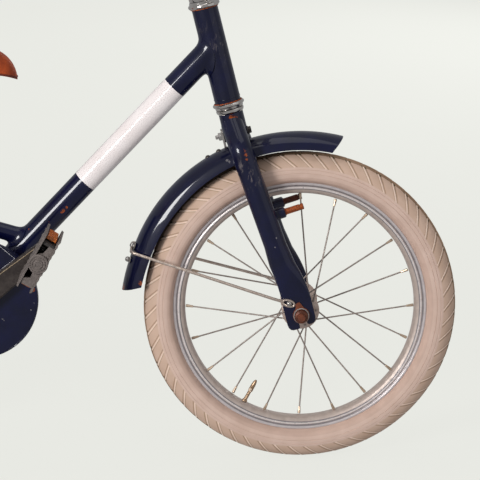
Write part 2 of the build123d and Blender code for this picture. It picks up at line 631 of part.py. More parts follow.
plate_rear = FORK_RAKE_OFFSET - BLADE_END_WIDTH / 2
plate_front = FORK_RAKE_OFFSET + BLADE_END_WIDTH / 2
plate_low = AXLE_UP - BLADE_END_DEPTH
plate_high = AXLE_UP + BLADE_END_HEIGHT
plate_outer = FORK_INNER_HALF_WIDTH + BLADE_END_THICKNESS
plate_blank = 2 * plate_outer
for side_name, side in SIDES:
    with BuildPart() as blade_end:
        with BuildSketch(Plane(origin=steer(0, 0, 0), x_dir=STEER_FORWARD, z_dir=(0, -1, 0))):
            with BuildLine():
                Polyline(
                    (blade_forward(BLADE_LOW_HEIGHT) - BLADE_RADIUS, BLADE_LOW_HEIGHT),
                    (plate_rear, plate_high),
                    (plate_rear, plate_low + BLADE_END_CORNER_LENGTH),
                    (plate_rear + BLADE_END_CORNER_LENGTH, plate_low),
                    (plate_front - BLADE_END_CORNER_LENGTH, plate_low),
                    (plate_front, plate_low + BLADE_END_CORNER_LENGTH),
                    (plate_front, plate_high),
                    (blade_forward(BLADE_LOW_HEIGHT) + BLADE_RADIUS, BLADE_LOW_HEIGHT),
                    close=True,
                )
            make_face()
            with Locations((FORK_RAKE_OFFSET, AXLE_UP)):
                Circle(FRONT_SLOT_WIDTH / 2, mode=Mode.SUBTRACT)
            with Locations((FORK_RAKE_OFFSET, plate_low)):
                Rectangle(FRONT_SLOT_WIDTH, 2 * BLADE_END_DEPTH, mode=Mode.SUBTRACT)
        extrude(amount=-side * plate_blank)
        with BuildSketch(Plane(origin=steer(-plate_blank, 0, 0), x_dir=(0, 1, 0), z_dir=STEER_FORWARD)):
            with BuildLine():
                Polyline(
                    (side * (BLADE_LOW_OFFSET - BLADE_RADIUS), BLADE_LOW_HEIGHT),
                    (side * FORK_INNER_HALF_WIDTH, BLADE_FLAT_HEIGHT),
                    (side * FORK_INNER_HALF_WIDTH, plate_low),
                    (side * plate_outer, plate_low),
                    (side * plate_outer, BLADE_FLAT_HEIGHT),
                    (side * (BLADE_LOW_OFFSET + BLADE_RADIUS), BLADE_LOW_HEIGHT),
                    close=True,
                )
            make_face()
        extrude(amount=2 * plate_blank, mode=Mode.INTERSECT)
    with BuildPart() as fork_blade:
        bent_rod(blade_points(side), BLADE_BEND_RADIUS, BLADE_RADIUS)
        add(blade_end.part)
        add(fork_crown.part, mode=Mode.SUBTRACT)
    keep(f"fork_blade_{side_name}", fork_blade)

stud_forward = blade_forward(STUD_HEIGHT)
stud_boss_end = stud_forward + BLADE_RADIUS + STUD_BOSS_LENGTH
for side_name, side in SIDES:
    stud_side = side * STUD_OFFSET
    with BuildPart() as brake_stud:
        boss_root = steer(stud_forward, stud_side, STUD_HEIGHT)
        rod(boss_root, steer(stud_boss_end, stud_side, STUD_HEIGHT), STUD_BOSS_RADIUS)
        rod(boss_root, steer(stud_boss_end + STUD_LENGTH, stud_side, STUD_HEIGHT), STUD_RADIUS)
        add(pieces[f"fork_blade_{side_name}"], mode=Mode.SUBTRACT)
    keep(f"brake_stud_{side_name}", brake_stud)

# stem, handlebar and grips
clamp_ends = [steer(STEM_REACH, side * STEM_CLAMP_HALF_WIDTH, BAR_UP) for side_name, side in SIDES]
with BuildPart() as stem:
    steer_ring(STEERER_TOP, STEM_TOP, QUILL_RADIUS)
    rod(steer(0, 0, BAR_UP), steer(STEM_REACH, 0, BAR_UP), QUILL_RADIUS)
    rod(*clamp_ends, STEM_CLAMP_RADIUS)
    rod(*clamp_ends, BAR_RADIUS + TOUCH_CLEARANCE, mode=Mode.SUBTRACT)
keep("stem", stem)


def bar_points(side):
    """Half the handlebar's corners, from its middle to the end of the grip."""
    bar_high = BAR_UP + BAR_RISE_HEIGHT
    turn_half_width = BAR_HALF_WIDTH - BAR_TURN_INSET_OFFSET
    return (
        steer(STEM_REACH, 0, BAR_UP),
        steer(STEM_REACH, side * BAR_STRAIGHT_HALF_WIDTH, BAR_UP),
        steer(STEM_REACH + BAR_SHOULDER_REACH, side * BAR_SHOULDER_HALF_WIDTH, bar_high),
        steer(STEM_REACH - BAR_TURN_REACH, side * turn_half_width, bar_high - BAR_TURN_DEPTH),
        steer(STEM_REACH - BAR_SWEEP_REACH, side * BAR_HALF_WIDTH, bar_high - BAR_END_DEPTH),
    )


with BuildPart() as handlebar:
    for side_name, side in SIDES:
        bent_rod(bar_points(side), BAR_BEND_RADIUS, BAR_RADIUS)
keep("handlebar", handlebar)

for side_name, side in SIDES:
    bar_turn, bar_end = bar_points(side)[-2:]
    grip_line = (bar_end - bar_turn).normalized()
    grip_start = bar_end - grip_line * GRIP_LENGTH
    with BuildPart() as grip:
        rod(grip_start, bar_end + grip_line * GRIP_END_THICKNESS, GRIP_RADIUS)
        rod(grip_start, grip_start + grip_line * GRIP_FLANGE_THICKNESS, GRIP_FLANGE_RADIUS)
        add(handlebar.part, mode=Mode.SUBTRACT)
    keep(f"grip_{side_name}", grip)


# fenders, the front one's bracket and bolt, and the wire stays
def fender_shell(centre, start, end):
    """A rolled fender round a wheel's axle, between two angles counted up from straight ahead."""
    radial = Vector(cos(radians(start)), 0, sin(radians(start)))
    ahead = Vector(-sin(radians(start)), 0, cos(radians(start)))
    inner_half_width = FENDER_HALF_WIDTH - FENDER_THICKNESS
    with BuildSketch(Plane(origin=centre, x_dir=radial, z_dir=ahead)) as section:
        with BuildLine():
            Line((FENDER_SKIRT_RADIUS, FENDER_HALF_WIDTH), (FENDER_SHOULDER_RADIUS, FENDER_HALF_WIDTH))
            ThreePointArc((FENDER_SHOULDER_RADIUS, FENDER_HALF_WIDTH), (FENDER_RADIUS, 0),
                          (FENDER_SHOULDER_RADIUS, -FENDER_HALF_WIDTH))
            Polyline((FENDER_SHOULDER_RADIUS, -FENDER_HALF_WIDTH), (FENDER_SKIRT_RADIUS, -FENDER_HALF_WIDTH),
                     (FENDER_SKIRT_RADIUS, -inner_half_width), (FENDER_SHOULDER_RADIUS, -inner_half_width))
            ThreePointArc((FENDER_SHOULDER_RADIUS, -inner_half_width), (FENDER_RADIUS - FENDER_THICKNESS, 0),
                          (FENDER_SHOULDER_RADIUS, inner_half_width))
            Polyline((FENDER_SHOULDER_RADIUS, inner_half_width), (FENDER_SKIRT_RADIUS, inner_half_width),
                     (FENDER_SKIRT_RADIUS, FENDER_HALF_WIDTH))
        make_face()
    revolve(section.sketch, axis=Axis(centre, (0, -1, 0)), revolution_arc=end - start)


def fender_tip(centre, tip, skirt):
    """Cuts a fender's end aslant, from its top at one angle to its skirt's edge at another."""
    outside = FENDER_RADIUS + FENDER_THICKNESS
    inside = FENDER_SKIRT_RADIUS - FENDER_THICKNESS
    beyond = 2 * tip - skirt
    corners = (around(centre, outside, tip), around(centre, inside, skirt), around(centre, inside, beyond),
               around(centre, outside, beyond))
    with BuildSketch(side_plane(0)) as wedge:
        with BuildLine():
            Polyline(*[(corner.X, corner.Z) for corner in corners], close=True)
        make_face()
    extrude(wedge.sketch, amount=2 * FENDER_HALF_WIDTH, both=True, mode=Mode.SUBTRACT)


with BuildPart() as front_fender:
    fender_shell(FRONT_AXLE, FRONT_FENDER_START_ANGLE, FRONT_FENDER_END_ANGLE)
    fender_tip(FRONT_AXLE, FRONT_FENDER_START_ANGLE, FRONT_FENDER_START_ANGLE + FENDER_TIP_ANGLE)
    fender_tip(FRONT_AXLE, FRONT_FENDER_END_ANGLE, FRONT_FENDER_END_ANGLE - FENDER_TIP_ANGLE)
keep("front_fender", front_fender)

with BuildPart() as rear_fender:
    fender_shell(REAR_AXLE, REAR_FENDER_START_ANGLE, REAR_FENDER_END_ANGLE)
    fender_tip(REAR_AXLE, REAR_FENDER_END_ANGLE, REAR_FENDER_END_ANGLE - FENDER_TIP_ANGLE)
keep("rear_fender", rear_fender)

bracket_rear = CROWN_RADIUS + FENDER_BRACKET_THICKNESS
bracket_low = AXLE_UP + sqrt(FENDER_RADIUS ** 2 - (FORK_RAKE_OFFSET + bracket_rear) ** 2) - FENDER_THICKNESS / 2
bracket_high = CROWN_BOLT_UP + FENDER_BRACKET_TOP_HEIGHT
bracket_face = Plane(origin=steer(-CROWN_RADIUS, 0, CROWN_BOLT_UP), x_dir=(0, -1, 0), z_dir=-STEER_FORWARD)
with BuildPart() as fender_bracket:
    with BuildSketch(bracket_face):
        with Locations((0, (bracket_low + bracket_high) / 2 - CROWN_BOLT_UP)):
            RectangleRounded(FENDER_BRACKET_WIDTH, bracket_high - bracket_low, FENDER_BRACKET_CORNER_RADIUS)
        Circle(CROWN_BOLT_RADIUS + TOUCH_CLEARANCE, mode=Mode.SUBTRACT)
    extrude(amount=FENDER_BRACKET_THICKNESS)
    add(front_fender.part, mode=Mode.SUBTRACT)
keep("fender_bracket", fender_bracket)

bolt_nut_end = -bracket_rear - BOLT_HEAD_HEIGHT
with BuildPart() as crown_bolt:
    rod(steer(bolt_nut_end - CROWN_BOLT_END_LENGTH, 0, CROWN_BOLT_UP), steer(CROWN_RADIUS, 0, CROWN_BOLT_UP),
        CROWN_BOLT_RADIUS)
    rod(steer(CROWN_RADIUS, 0, CROWN_BOLT_UP), steer(CROWN_RADIUS + BOLT_HEAD_HEIGHT, 0, CROWN_BOLT_UP),
        BOLT_HEAD_RADIUS)
    rod(steer(bolt_nut_end, 0, CROWN_BOLT_UP), steer(-bracket_rear, 0, CROWN_BOLT_UP), BOLT_HEAD_RADIUS)
keep("crown_bolt", crown_bolt)


def fender_stay(eye, plate_face, lead_length, centre, angle):
    """A wire from the right eyelet back round the fender to the left one, with its two eyelets."""
    eye_offset = plate_face + EYELET_THICKNESS / 2
    wrap = around(centre, FENDER_RADIUS + STAY_WIRE_RADIUS + SEAT_CLEARANCE, angle)
    wrap_offset = FENDER_HALF_WIDTH + STAY_WRAP_GAP
    past_plate = eye + (wrap - eye).normalized() * lead_length
    wire = (
        across(eye, -eye_offset),
        across(past_plate, -eye_offset),
        across(wrap, -wrap_offset),
        across(wrap, wrap_offset),
        across(past_plate, eye_offset),
        across(eye, eye_offset),
    )
    bent_rod(wire, STAY_WIRE_BEND_RADIUS, STAY_WIRE_RADIUS)
    for side_name, side in SIDES:
        rod(across(eye, side * plate_face), across(eye, side * (plate_face + EYELET_THICKNESS)), EYELET_RADIUS)


front_eye = steer(FORK_RAKE_OFFSET - FRONT_EYE_BACK_OFFSET, 0, AXLE_UP + FRONT_EYE_HEIGHT)
with BuildPart() as front_fender_stay:
    fender_stay(front_eye, plate_outer, FRONT_STAY_LEAD_LENGTH, FRONT_AXLE, FRONT_STAY_ANGLE)
    add(front_fender.part, mode=Mode.SUBTRACT)
keep("front_fender_stay", front_fender_stay)

dropout_outer = REAR_INNER_HALF_WIDTH + DROPOUT_THICKNESS
with BuildPart() as rear_fender_stay:
    fender_stay(rear_eye, dropout_outer, REAR_STAY_LEAD_LENGTH, REAR_AXLE, REAR_STAY_ANGLE)
    add(rear_fender.part, mode=Mode.SUBTRACT)
keep("rear_fender_stay", rear_fender_stay)

# wheels: tyre, rim, spokes, hub and valve
bead_radius = RIM_OUTER_RADIUS + SEAT_CLEARANCE
bead_angle = acos((bead_radius - TYRE_MIDDLE_RADIUS) / TYRE_SECTION_RADIUS)
chord_angles = [bead_angle * (1 - 2 * n / TYRE_CHORDS) for n in range(TYRE_CHORDS + 1)]
tyre_outline = [
    (TYRE_MIDDLE_RADIUS + TYRE_SECTION_RADIUS * cos(angle), TYRE_SECTION_RADIUS * sin(angle))
    for angle in chord_angles
]
rim_half = [
    (RIM_OUTER_RADIUS - RIM_SEAT_DEPTH, RIM_HALF_WIDTH - RIM_LIP_THICKNESS),
    (RIM_OUTER_RADIUS, RIM_HALF_WIDTH - RIM_LIP_THICKNESS),
    (RIM_OUTER_RADIUS, RIM_HALF_WIDTH),
    (RIM_INNER_RADIUS + RIM_SHOULDER_DEPTH, RIM_HALF_WIDTH),
    (RIM_INNER_RADIUS, RIM_WELL_HALF_WIDTH),
]
rim_outline = rim_half + [(radius, -left) for radius, left in reversed(rim_half)]


def hub_outline(half_width, flange_offset, flange_radius, barrel_radius, neck_radius):
    """A hub's outline from end to end: necks, two flanges and the barrel between them."""
    inside = flange_offset - FLANGE_THICKNESS / 2
    outside = flange_offset + FLANGE_THICKNESS / 2
    half = [
        (barrel_radius, inside),
        (flange_radius, inside),
        (flange_radius, outside),
        (neck_radius, outside),
        (neck_radius, half_width),
        (HUB_BORE_RADIUS, half_width),
    ]
    return half + [(radius, -left) for radius, left in reversed(half)]


# name, axle, hub half width, flange offset, flange radius, barrel radius, neck radius, valve angle
WHEELS = (
    ("front", FRONT_AXLE, FRONT_HUB_HALF_WIDTH, FRONT_FLANGE_OFFSET, FRONT_FLANGE_RADIUS, FRONT_BARREL_RADIUS,
     FRONT_NECK_RADIUS, FRONT_VALVE_ANGLE),
    ("rear", REAR_AXLE, REAR_HUB_HALF_WIDTH, REAR_FLANGE_OFFSET, REAR_FLANGE_RADIUS, REAR_BARREL_RADIUS,
     REAR_NECK_RADIUS, REAR_VALVE_ANGLE),
)
spoke_face = FLANGE_THICKNESS / 2 + SPOKE_RADIUS + TOUCH_CLEARANCE
spoke_end_radius = RIM_INNER_RADIUS - NIPPLE_GAP
for wheel_name, axle, half_width, flange_offset, flange_radius, barrel_radius, neck_radius, valve in WHEELS:
    with BuildPart() as tyre:
        turned(axle, tyre_outline)
    keep(f"{wheel_name}_tyre", tyre)

    with BuildPart() as rim:
        turned(axle, rim_outline)
    keep(f"{wheel_name}_rim", rim)

    with BuildPart() as hub:
        turned(axle, hub_outline(half_width, flange_offset, flange_radius, barrel_radius, neck_radius))
    keep(f"{wheel_name}_hub", hub)

    with BuildPart() as spokes:
        for side_name, side in SIDES:
            for n in range(SPOKES_PER_FLANGE):
                lean = SPOKE_TURN_ANGLE if n % 2 else -SPOKE_TURN_ANGLE
                face = spoke_face if n % 2 else -spoke_face
                stagger = 0.5 if side > 0 else 0.0
                rim_angle = 90 + (n + stagger) * 360 / SPOKES_PER_FLANGE
                inner_side = side * (flange_offset + face)
                inner_end = around(axle, flange_radius + SPOKE_RADIUS, rim_angle + lean, inner_side)
                outer_end = around(axle, spoke_end_radius, rim_angle, side * SPOKE_RIM_OFFSET)
                line = (outer_end - inner_end).normalized()
                rod(inner_end, outer_end, SPOKE_RADIUS)
                rod(outer_end - line * NIPPLE_LENGTH, outer_end, NIPPLE_RADIUS)
    keep(f"{wheel_name}_spokes", spokes)

    with BuildPart() as valve_stem:
        rod(around(axle, RIM_INNER_RADIUS - VALVE_LENGTH, valve),
            around(axle, RIM_INNER_RADIUS - SEAT_CLEARANCE, valve), VALVE_RADIUS)
    keep(f"{wheel_name}_valve", valve_stem)

# axles with their cones, washers and nuts; the front washers have a tab up along the blade
arm_inner = REAR_HUB_HALF_WIDTH + ARM_STAND_OFFSET
front_cone = FRONT_HUB_HALF_WIDTH + SEAT_CLEARANCE
sprocket_outer = CHAIN_LINE + SPROCKET_STAND_OFFSET
# axle, inner face of the fork or frame end, its thickness, right cone's start, left cone's start, washer's tab
AXLES = (
    ("front_axle", FRONT_AXLE, FORK_INNER_HALF_WIDTH, BLADE_END_THICKNESS, front_cone, front_cone,
     STEER_UP * TAB_REACH),
    ("rear_axle", REAR_AXLE, REAR_INNER_HALF_WIDTH, DROPOUT_THICKNESS, sprocket_outer + SPROCKET_CONE_GAP,
     arm_inner + ARM_CONE_LENGTH, None),
)
for axle_name, centre, inner_face, plate, right_cone, left_cone, tab in AXLES:
    outer_face = inner_face + plate
    nut_face = outer_face + WASHER_THICKNESS
    end = nut_face + NUT_HEIGHT + AXLE_END_LENGTH
    with BuildPart() as axle_piece:
        rod(across(centre, -end), across(centre, end), AXLE_RADIUS)
        for side, cone in ((-1, right_cone), (1, left_cone)):
            rod(across(centre, side * cone), across(centre, side * inner_face), CONE_RADIUS)
            with BuildSketch(side_plane(side * outer_face)):
                disc(centre, WASHER_RADIUS)
                if tab:
                    disc(centre + tab, TAB_RADIUS)
                    make_hull()
            extrude(amount=-side * WASHER_THICKNESS)
            with BuildSketch(side_plane(side * nut_face)):
                with Locations((centre.X, centre.Z)):
                    RegularPolygon(NUT_RADIUS, 6, major_radius=False)
            extrude(amount=-side * NUT_HEIGHT)
    keep(axle_name, axle_piece)

# chain: its loop is counted in pitches, along the upper run, round the sprocket, forward and round the ring
drive_line = SHELL - REAR_AXLE
drive_angle = degrees(atan2(drive_line.Z, drive_line.X))
drive_taper = degrees(asin((RING_RADIUS - SPROCKET_RADIUS) / drive_line.length))
upper_angle = drive_angle + 90 + drive_taper
lower_angle = drive_angle - 90 - drive_taper
run_count = sqrt(drive_line.length ** 2 - (RING_RADIUS - SPROCKET_RADIUS) ** 2) / CHAIN_PITCH
sprocket_count = SPROCKET_TEETH * (180 - 2 * drive_taper) / 360
ring_count = RING_TEETH * (180 + 2 * drive_taper) / 360
loop_count = 2 * run_count + sprocket_count + ring_count
LINKS = 2 * round(loop_count / 2)


def chain_pin(number):
    """Where a pin of the chain is, counted from the top of the chainring."""
    count = number * loop_count / LINKS
    ring_upper = around(SHELL, RING_RADIUS, upper_angle)
    ring_lower = around(SHELL, RING_RADIUS, lower_angle)
    sprocket_upper = around(REAR_AXLE, SPROCKET_RADIUS, upper_angle)
    sprocket_lower = around(REAR_AXLE, SPROCKET_RADIUS, lower_angle)
    if count < run_count:
        return ring_upper + (sprocket_upper - ring_upper) * (count / run_count)
    count -= run_count
    if count < sprocket_count:
        return around(REAR_AXLE, SPROCKET_RADIUS, upper_angle + count * 360 / SPROCKET_TEETH)
    count -= sprocket_count
    if count < run_count:
        return sprocket_lower + (ring_lower - sprocket_lower) * (count / run_count)
    count -= run_count
    return around(SHELL, RING_RADIUS, lower_angle + count * 360 / RING_TEETH)


def clear_of_teeth(pin):
    """Whether a roller on a pin is out of the way of the chainring's and the sprocket's teeth."""
    reach = TOOTH_TIP_HEIGHT + CHAIN_ROLLER_WIDTH + SEAT_CLEARANCE
    ring_room = (pin - SHELL).length - RING_RADIUS
    sprocket_room = (pin - REAR_AXLE).length - SPROCKET_RADIUS
    return min(ring_room, sprocket_room) > reach


pins = [chain_pin(n) for n in range(LINKS)]
link_places = []
for here, there in zip(pins, pins[1:] + pins[:1]):
    middle = (here + there) * 0.5
    turn = degrees(atan2(there.Z - here.Z, there.X - here.X))
    link_places.append(Location((middle.X, middle.Z, 0), (0, 0, turn)))
plate_length = CHAIN_PITCH + 2 * CHAIN_PLATE_END_LENGTH
inner_plate_face = CHAIN_INNER_WIDTH / 2
outer_plate_face = inner_plate_face + CHAIN_PLATE_THICKNESS + TOUCH_CLEARANCE
with BuildPart() as chain:
    for side_name, side in SIDES:
        with BuildSketch(side_plane(side * inner_plate_face - CHAIN_LINE)):
            with Locations(*link_places[0::2]):
                Rectangle(plate_length, CHAIN_PLATE_HEIGHT)
        extrude(amount=-side * CHAIN_PLATE_THICKNESS)
        with BuildSketch(side_plane(side * outer_plate_face - CHAIN_LINE)):
            with Locations(*link_places[1::2]):
                Rectangle(plate_length, CHAIN_PLATE_HEIGHT)
        extrude(amount=-side * CHAIN_PLATE_THICKNESS)
    with BuildSketch(side_plane(-CHAIN_LINE)):
        with Locations(*[(pin.X, pin.Z) for pin in pins if clear_of_teeth(pin)]):
            Rectangle(CHAIN_ROLLER_WIDTH, CHAIN_ROLLER_WIDTH, rotation=drive_angle)
    extrude(amount=inner_plate_face - TOUCH_CLEARANCE, both=True)
keep("chain", chain)


def tooth_outline(centre, radius, teeth, first_angle):
    """The corners of a ring of teeth round an axle, for a side plane's sketch."""
    outline = []
    for n in range(teeth):
        tooth_angle = first_angle + n * 360 / teeth
        for reach, share in ((-TOOTH_ROOT_DEPTH, -TOOTH_ROOT_SHARE), (TOOTH_TIP_HEIGHT, -TOOTH_TIP_SHARE),
                             (TOOTH_TIP_HEIGHT, TOOTH_TIP_SHARE), (-TOOTH_ROOT_DEPTH, TOOTH_ROOT_SHARE)):
            corner = around(centre, radius + reach, tooth_angle + share * 360 / teeth)
            outline.append((corner.X, corner.Z))
    return outline


def angle_from(centre, point):
    """The angle of a point about an axle, counted up from straight ahead."""
    return degrees(atan2(point.Z - centre.Z, point.X - centre.X))


# teeth stand midway between the pins that they drive
ring_first = angle_from(SHELL, max(pins, key=lambda pin: pin.X)) + 180 / RING_TEETH
sprocket_first = angle_from(REAR_AXLE, min(pins, key=lambda pin: pin.X)) + 180 / SPROCKET_TEETH
ring_bore = SPINDLE_RADIUS + TOUCH_CLEARANCE
ring_hub_ends = [across(SHELL, side * RING_HUB_HALF_WIDTH - CHAIN_LINE) for side_name, side in SIDES]
with BuildPart() as chainring:
    with BuildSketch(side_plane(-CHAIN_LINE)):
        with BuildLine():
            Polyline(*tooth_outline(SHELL, RING_RADIUS, RING_TEETH, ring_first), close=True)
        make_face()
        with Locations((SHELL.X, SHELL.Z)):
            with PolarLocations((RING_HUB_RADIUS + RING_RADIUS - TOOTH_ROOT_DEPTH) / 2, RING_HOLES):
                Circle(RING_HOLE_RADIUS, mode=Mode.SUBTRACT)
    extrude(amount=TOOTH_THICKNESS / 2, both=True)
    rod(*ring_hub_ends, RING_HUB_RADIUS)
    rod(*ring_hub_ends, ring_bore, mode=Mode.SUBTRACT)
keep("chainring", chainring)

sprocket_ends = (across(REAR_AXLE, -REAR_HUB_HALF_WIDTH - SEAT_CLEARANCE), across(REAR_AXLE, -sprocket_outer))
with BuildPart() as sprocket:
    with BuildSketch(side_plane(-CHAIN_LINE)):
        with BuildLine():
            Polyline(*tooth_outline(REAR_AXLE, SPROCKET_RADIUS, SPROCKET_TEETH, sprocket_first), close=True)
        make_face()
    extrude(amount=TOOTH_THICKNESS / 2, both=True)
    rod(*sprocket_ends, SPROCKET_BOSS_RADIUS)
    rod(*sprocket_ends, HUB_BORE_RADIUS, mode=Mode.SUBTRACT)
keep("sprocket", sprocket)

# chain guard: a disc over the chainring with a tail over the chain's upper run
guard_tail = SHELL + Vector(-GUARD_TAIL_REACH, 0, GUARD_TAIL_HEIGHT)
guard_shoulder = SHELL + Vector(0, 0, GUARD_RADIUS - GUARD_SHOULDER_RADIUS)


def guard_outline(left, inset):
    """The guard's outline at a distance from the middle plane, drawn in from its edge."""
    with BuildSketch(side_plane(left)) as outline:
        disc(guard_shoulder, GUARD_SHOULDER_RADIUS - inset)
        disc(guard_tail, GUARD_TAIL_RADIUS - inset)
        make_hull()
        disc(SHELL, GUARD_RADIUS - inset)
    return outline.sketch


strut_root = Vector(guard_tail.X + GUARD_STRUT_REACH, GUARD_WALL_THICKNESS - GUARD_OUTER,
                    guard_tail.Z - GUARD_TAIL_RADIUS / 2)
with BuildPart() as chain_guard:
    extrude(guard_outline(-GUARD_OUTER, 0), amount=-GUARD_DEPTH)
    extrude(guard_outline(GUARD_WALL_THICKNESS - GUARD_OUTER, GUARD_WALL_THICKNESS), amount=-GUARD_DEPTH,
            mode=Mode.SUBTRACT)
    rod(across(SHELL, -GUARD_OUTER), across(SHELL, GUARD_DEPTH - GUARD_OUTER), GUARD_AXLE_HOLE_RADIUS,
        mode=Mode.SUBTRACT)
    rod(strut_root, chain_stay_points(-1)[1], GUARD_STRUT_RADIUS)
    add(pieces["chain_stay_right"], mode=Mode.SUBTRACT)
keep("chain_guard", chain_guard)

# cranks and pedals
spindle_end = CRANK_INNER + CRANK_THICKNESS
with BuildPart() as crank_axle:
    rod(across(SHELL, -spindle_end), across(SHELL, spindle_end), SPINDLE_RADIUS)
keep("crank_axle", crank_axle)

pedal_start = spindle_end + PEDAL_GAP
pedal_end = pedal_start + PEDAL_WIDTH
tread_middle = (PEDAL_LENGTH - PEDAL_TREAD_LENGTH) / 2
notch_step = PEDAL_TREAD_LENGTH / (PEDAL_NOTCHES + 1)
notch_places = [
    (end * (tread_middle + notch_step * (n - (PEDAL_NOTCHES - 1) / 2)), face * PEDAL_THICKNESS / 2)
    for end in (-1, 1) for face in (-1, 1) for n in range(PEDAL_NOTCHES)
]
for side_name, side in SIDES:
    angle = CRANK_ANGLE if side < 0 else CRANK_ANGLE + 180
    tip = around(SHELL, CRANK_LENGTH, angle)
    with BuildPart() as crank:
        with BuildSketch(side_plane(side * CRANK_INNER)):
            disc(SHELL, CRANK_ROOT_RADIUS)
            disc(tip, CRANK_TIP_RADIUS)
            make_hull()
            disc(SHELL, SPINDLE_RADIUS + TOUCH_CLEARANCE, mode=Mode.SUBTRACT)
        extrude(amount=-side * CRANK_THICKNESS)
        rod(across(tip, side * spindle_end), across(tip, side * (pedal_end - PEDAL_PLATE_THICKNESS)),
            PEDAL_SPINDLE_RADIUS)
    keep(f"crank_{side_name}", crank)

    long_way = Vector(cos(radians(PEDAL_ANGLE)), 0, sin(radians(PEDAL_ANGLE)))
    pedal_face = Plane(origin=across(tip, side * pedal_start), x_dir=long_way, z_dir=(0, side, 0))
    with BuildPart() as pedal:
        with BuildSketch(pedal_face):
            Circle(PEDAL_BARREL_RADIUS)
            with Locations((-tread_middle, 0), (tread_middle, 0)):
                RectangleRounded(PEDAL_TREAD_LENGTH, PEDAL_THICKNESS, PEDAL_TREAD_CORNER_RADIUS)
            with Locations(*notch_places):
                Rectangle(PEDAL_NOTCH_WIDTH, PEDAL_NOTCH_WIDTH, rotation=45, mode=Mode.SUBTRACT)
        extrude(amount=PEDAL_WIDTH)
        for start in (0, PEDAL_WIDTH - PEDAL_PLATE_THICKNESS):
            with BuildSketch(pedal_face.offset(start)):
                RectangleRounded(PEDAL_LENGTH - 2 * PEDAL_PLATE_INSET_LENGTH,
                                 PEDAL_THICKNESS - 2 * PEDAL_PLATE_INSET_LENGTH, PEDAL_PLATE_CORNER_RADIUS)
            extrude(amount=PEDAL_PLATE_THICKNESS)
        with BuildSketch(pedal_face.offset(PEDAL_WIDTH)):
            Circle(PEDAL_CAP_RADIUS)
        extrude(amount=PEDAL_CAP_HEIGHT)
        with BuildSketch(pedal_face):
            Circle(PEDAL_SPINDLE_RADIUS + RUNNING_CLEARANCE)
        extrude(amount=PEDAL_WIDTH - PEDAL_PLATE_THICKNESS + SEAT_CLEARANCE, mode=Mode.SUBTRACT)
    keep(f"pedal_{side_name}", pedal)

    with BuildPart() as reflectors:
        for end in (-1, 1):
            centre = across(tip, side * (pedal_start + PEDAL_WIDTH / 2)) + long_way * (end * PEDAL_LENGTH / 2)
            with BuildSketch(Plane(origin=centre, x_dir=(0, 1, 0), z_dir=long_way * end)):
                RectangleRounded(REFLECTOR_LENGTH, REFLECTOR_HEIGHT, REFLECTOR_CORNER_RADIUS)
            extrude(amount=REFLECTOR_DEPTH)
    keep(f"pedal_reflectors_{side_name}", reflectors)

# coaster brake's reaction arm and its strap on the left chain stay
stay_left = chain_stay_points(1)
stay_run = (stay_left[2] - stay_left[1]).normalized()
strap_centre = stay_left[1] + stay_run * ARM_STRAP_REACH
strap_half = stay_run * (ARM_STRAP_WIDTH / 2)
arm_end = strap_centre - Vector(0, 0, CHAIN_STAY_RADIUS + ARM_STAY_GAP)
arm_cone_end = arm_inner + ARM_CONE_LENGTH
with BuildPart() as coaster_arm:
    with BuildSketch(side_plane(arm_inner)):
        disc(REAR_AXLE, ARM_ROOT_RADIUS)
        disc(arm_end, ARM_END_RADIUS)
        make_hull()
    extrude(amount=-ARM_THICKNESS)
    dust_cap_inner = REAR_HUB_HALF_WIDTH + SEAT_CLEARANCE
    rod(across(REAR_AXLE, dust_cap_inner), across(REAR_AXLE, arm_inner), ARM_DUST_CAP_RADIUS)
    rod(across(REAR_AXLE, arm_inner), across(REAR_AXLE, arm_cone_end), CONE_RADIUS)
    rod(across(REAR_AXLE, REAR_HUB_HALF_WIDTH), across(REAR_AXLE, arm_cone_end), AXLE_RADIUS + TOUCH_CLEARANCE,
        mode=Mode.SUBTRACT)
    rod(strap_centre - strap_half, strap_centre + strap_half, CHAIN_STAY_RADIUS + ARM_STRAP_THICKNESS)
    add(pieces["chain_stay_left"], mode=Mode.SUBTRACT)
keep("coaster_arm", coaster_arm)

# side stand on the left dropout: its leg ends on the floor that the leaning tyres stand on
floor_up = Vector(0, -sin(radians(LEAN_ANGLE)), cos(radians(LEAN_ANGLE)))
pivot_left = dropout_outer + STAND_PLATE_THICKNESS + STAND_PIVOT_OFFSET
STAND_PIVOT = Vector(chain_stay_end.X + STAND_PIVOT_REACH, pivot_left, AXLE_HEIGHT - STAND_PIVOT_DEPTH)
foot_left = STAND_PIVOT.Y + STAND_FOOT_OFFSET
stand_foot = Vector(STAND_PIVOT.X + STAND_FOOT_REACH, foot_left, foot_left * tan(radians(LEAN_ANGLE)))
leg_end = stand_foot + floor_up * (STAND_FOOT_HEIGHT - STAND_FOOT_BITE_DEPTH)
leg_line = (leg_end - STAND_PIVOT).normalized()
STAND_AXIS = Vector(0, -leg_line.Z, leg_line.Y).normalized()
eye_in = STAND_PIVOT - STAND_AXIS * STAND_EYE_HALF_WIDTH
eye_out = STAND_PIVOT + STAND_AXIS * STAND_EYE_HALF_WIDTH
with BuildPart() as stand_leg:
    rod(STAND_PIVOT, leg_end, STAND_LEG_RADIUS)
    rod(eye_in, eye_out, STAND_EYE_RADIUS)
    rod(eye_in, eye_out, STAND_PIN_RADIUS + RUNNING_CLEARANCE, mode=Mode.SUBTRACT)
    with BuildSketch(Plane(origin=stand_foot, x_dir=(1, 0, 0), z_dir=floor_up)):
        Circle(STAND_FOOT_RADIUS)
    extrude(amount=STAND_FOOT_HEIGHT)
keep("stand_leg", stand_leg)

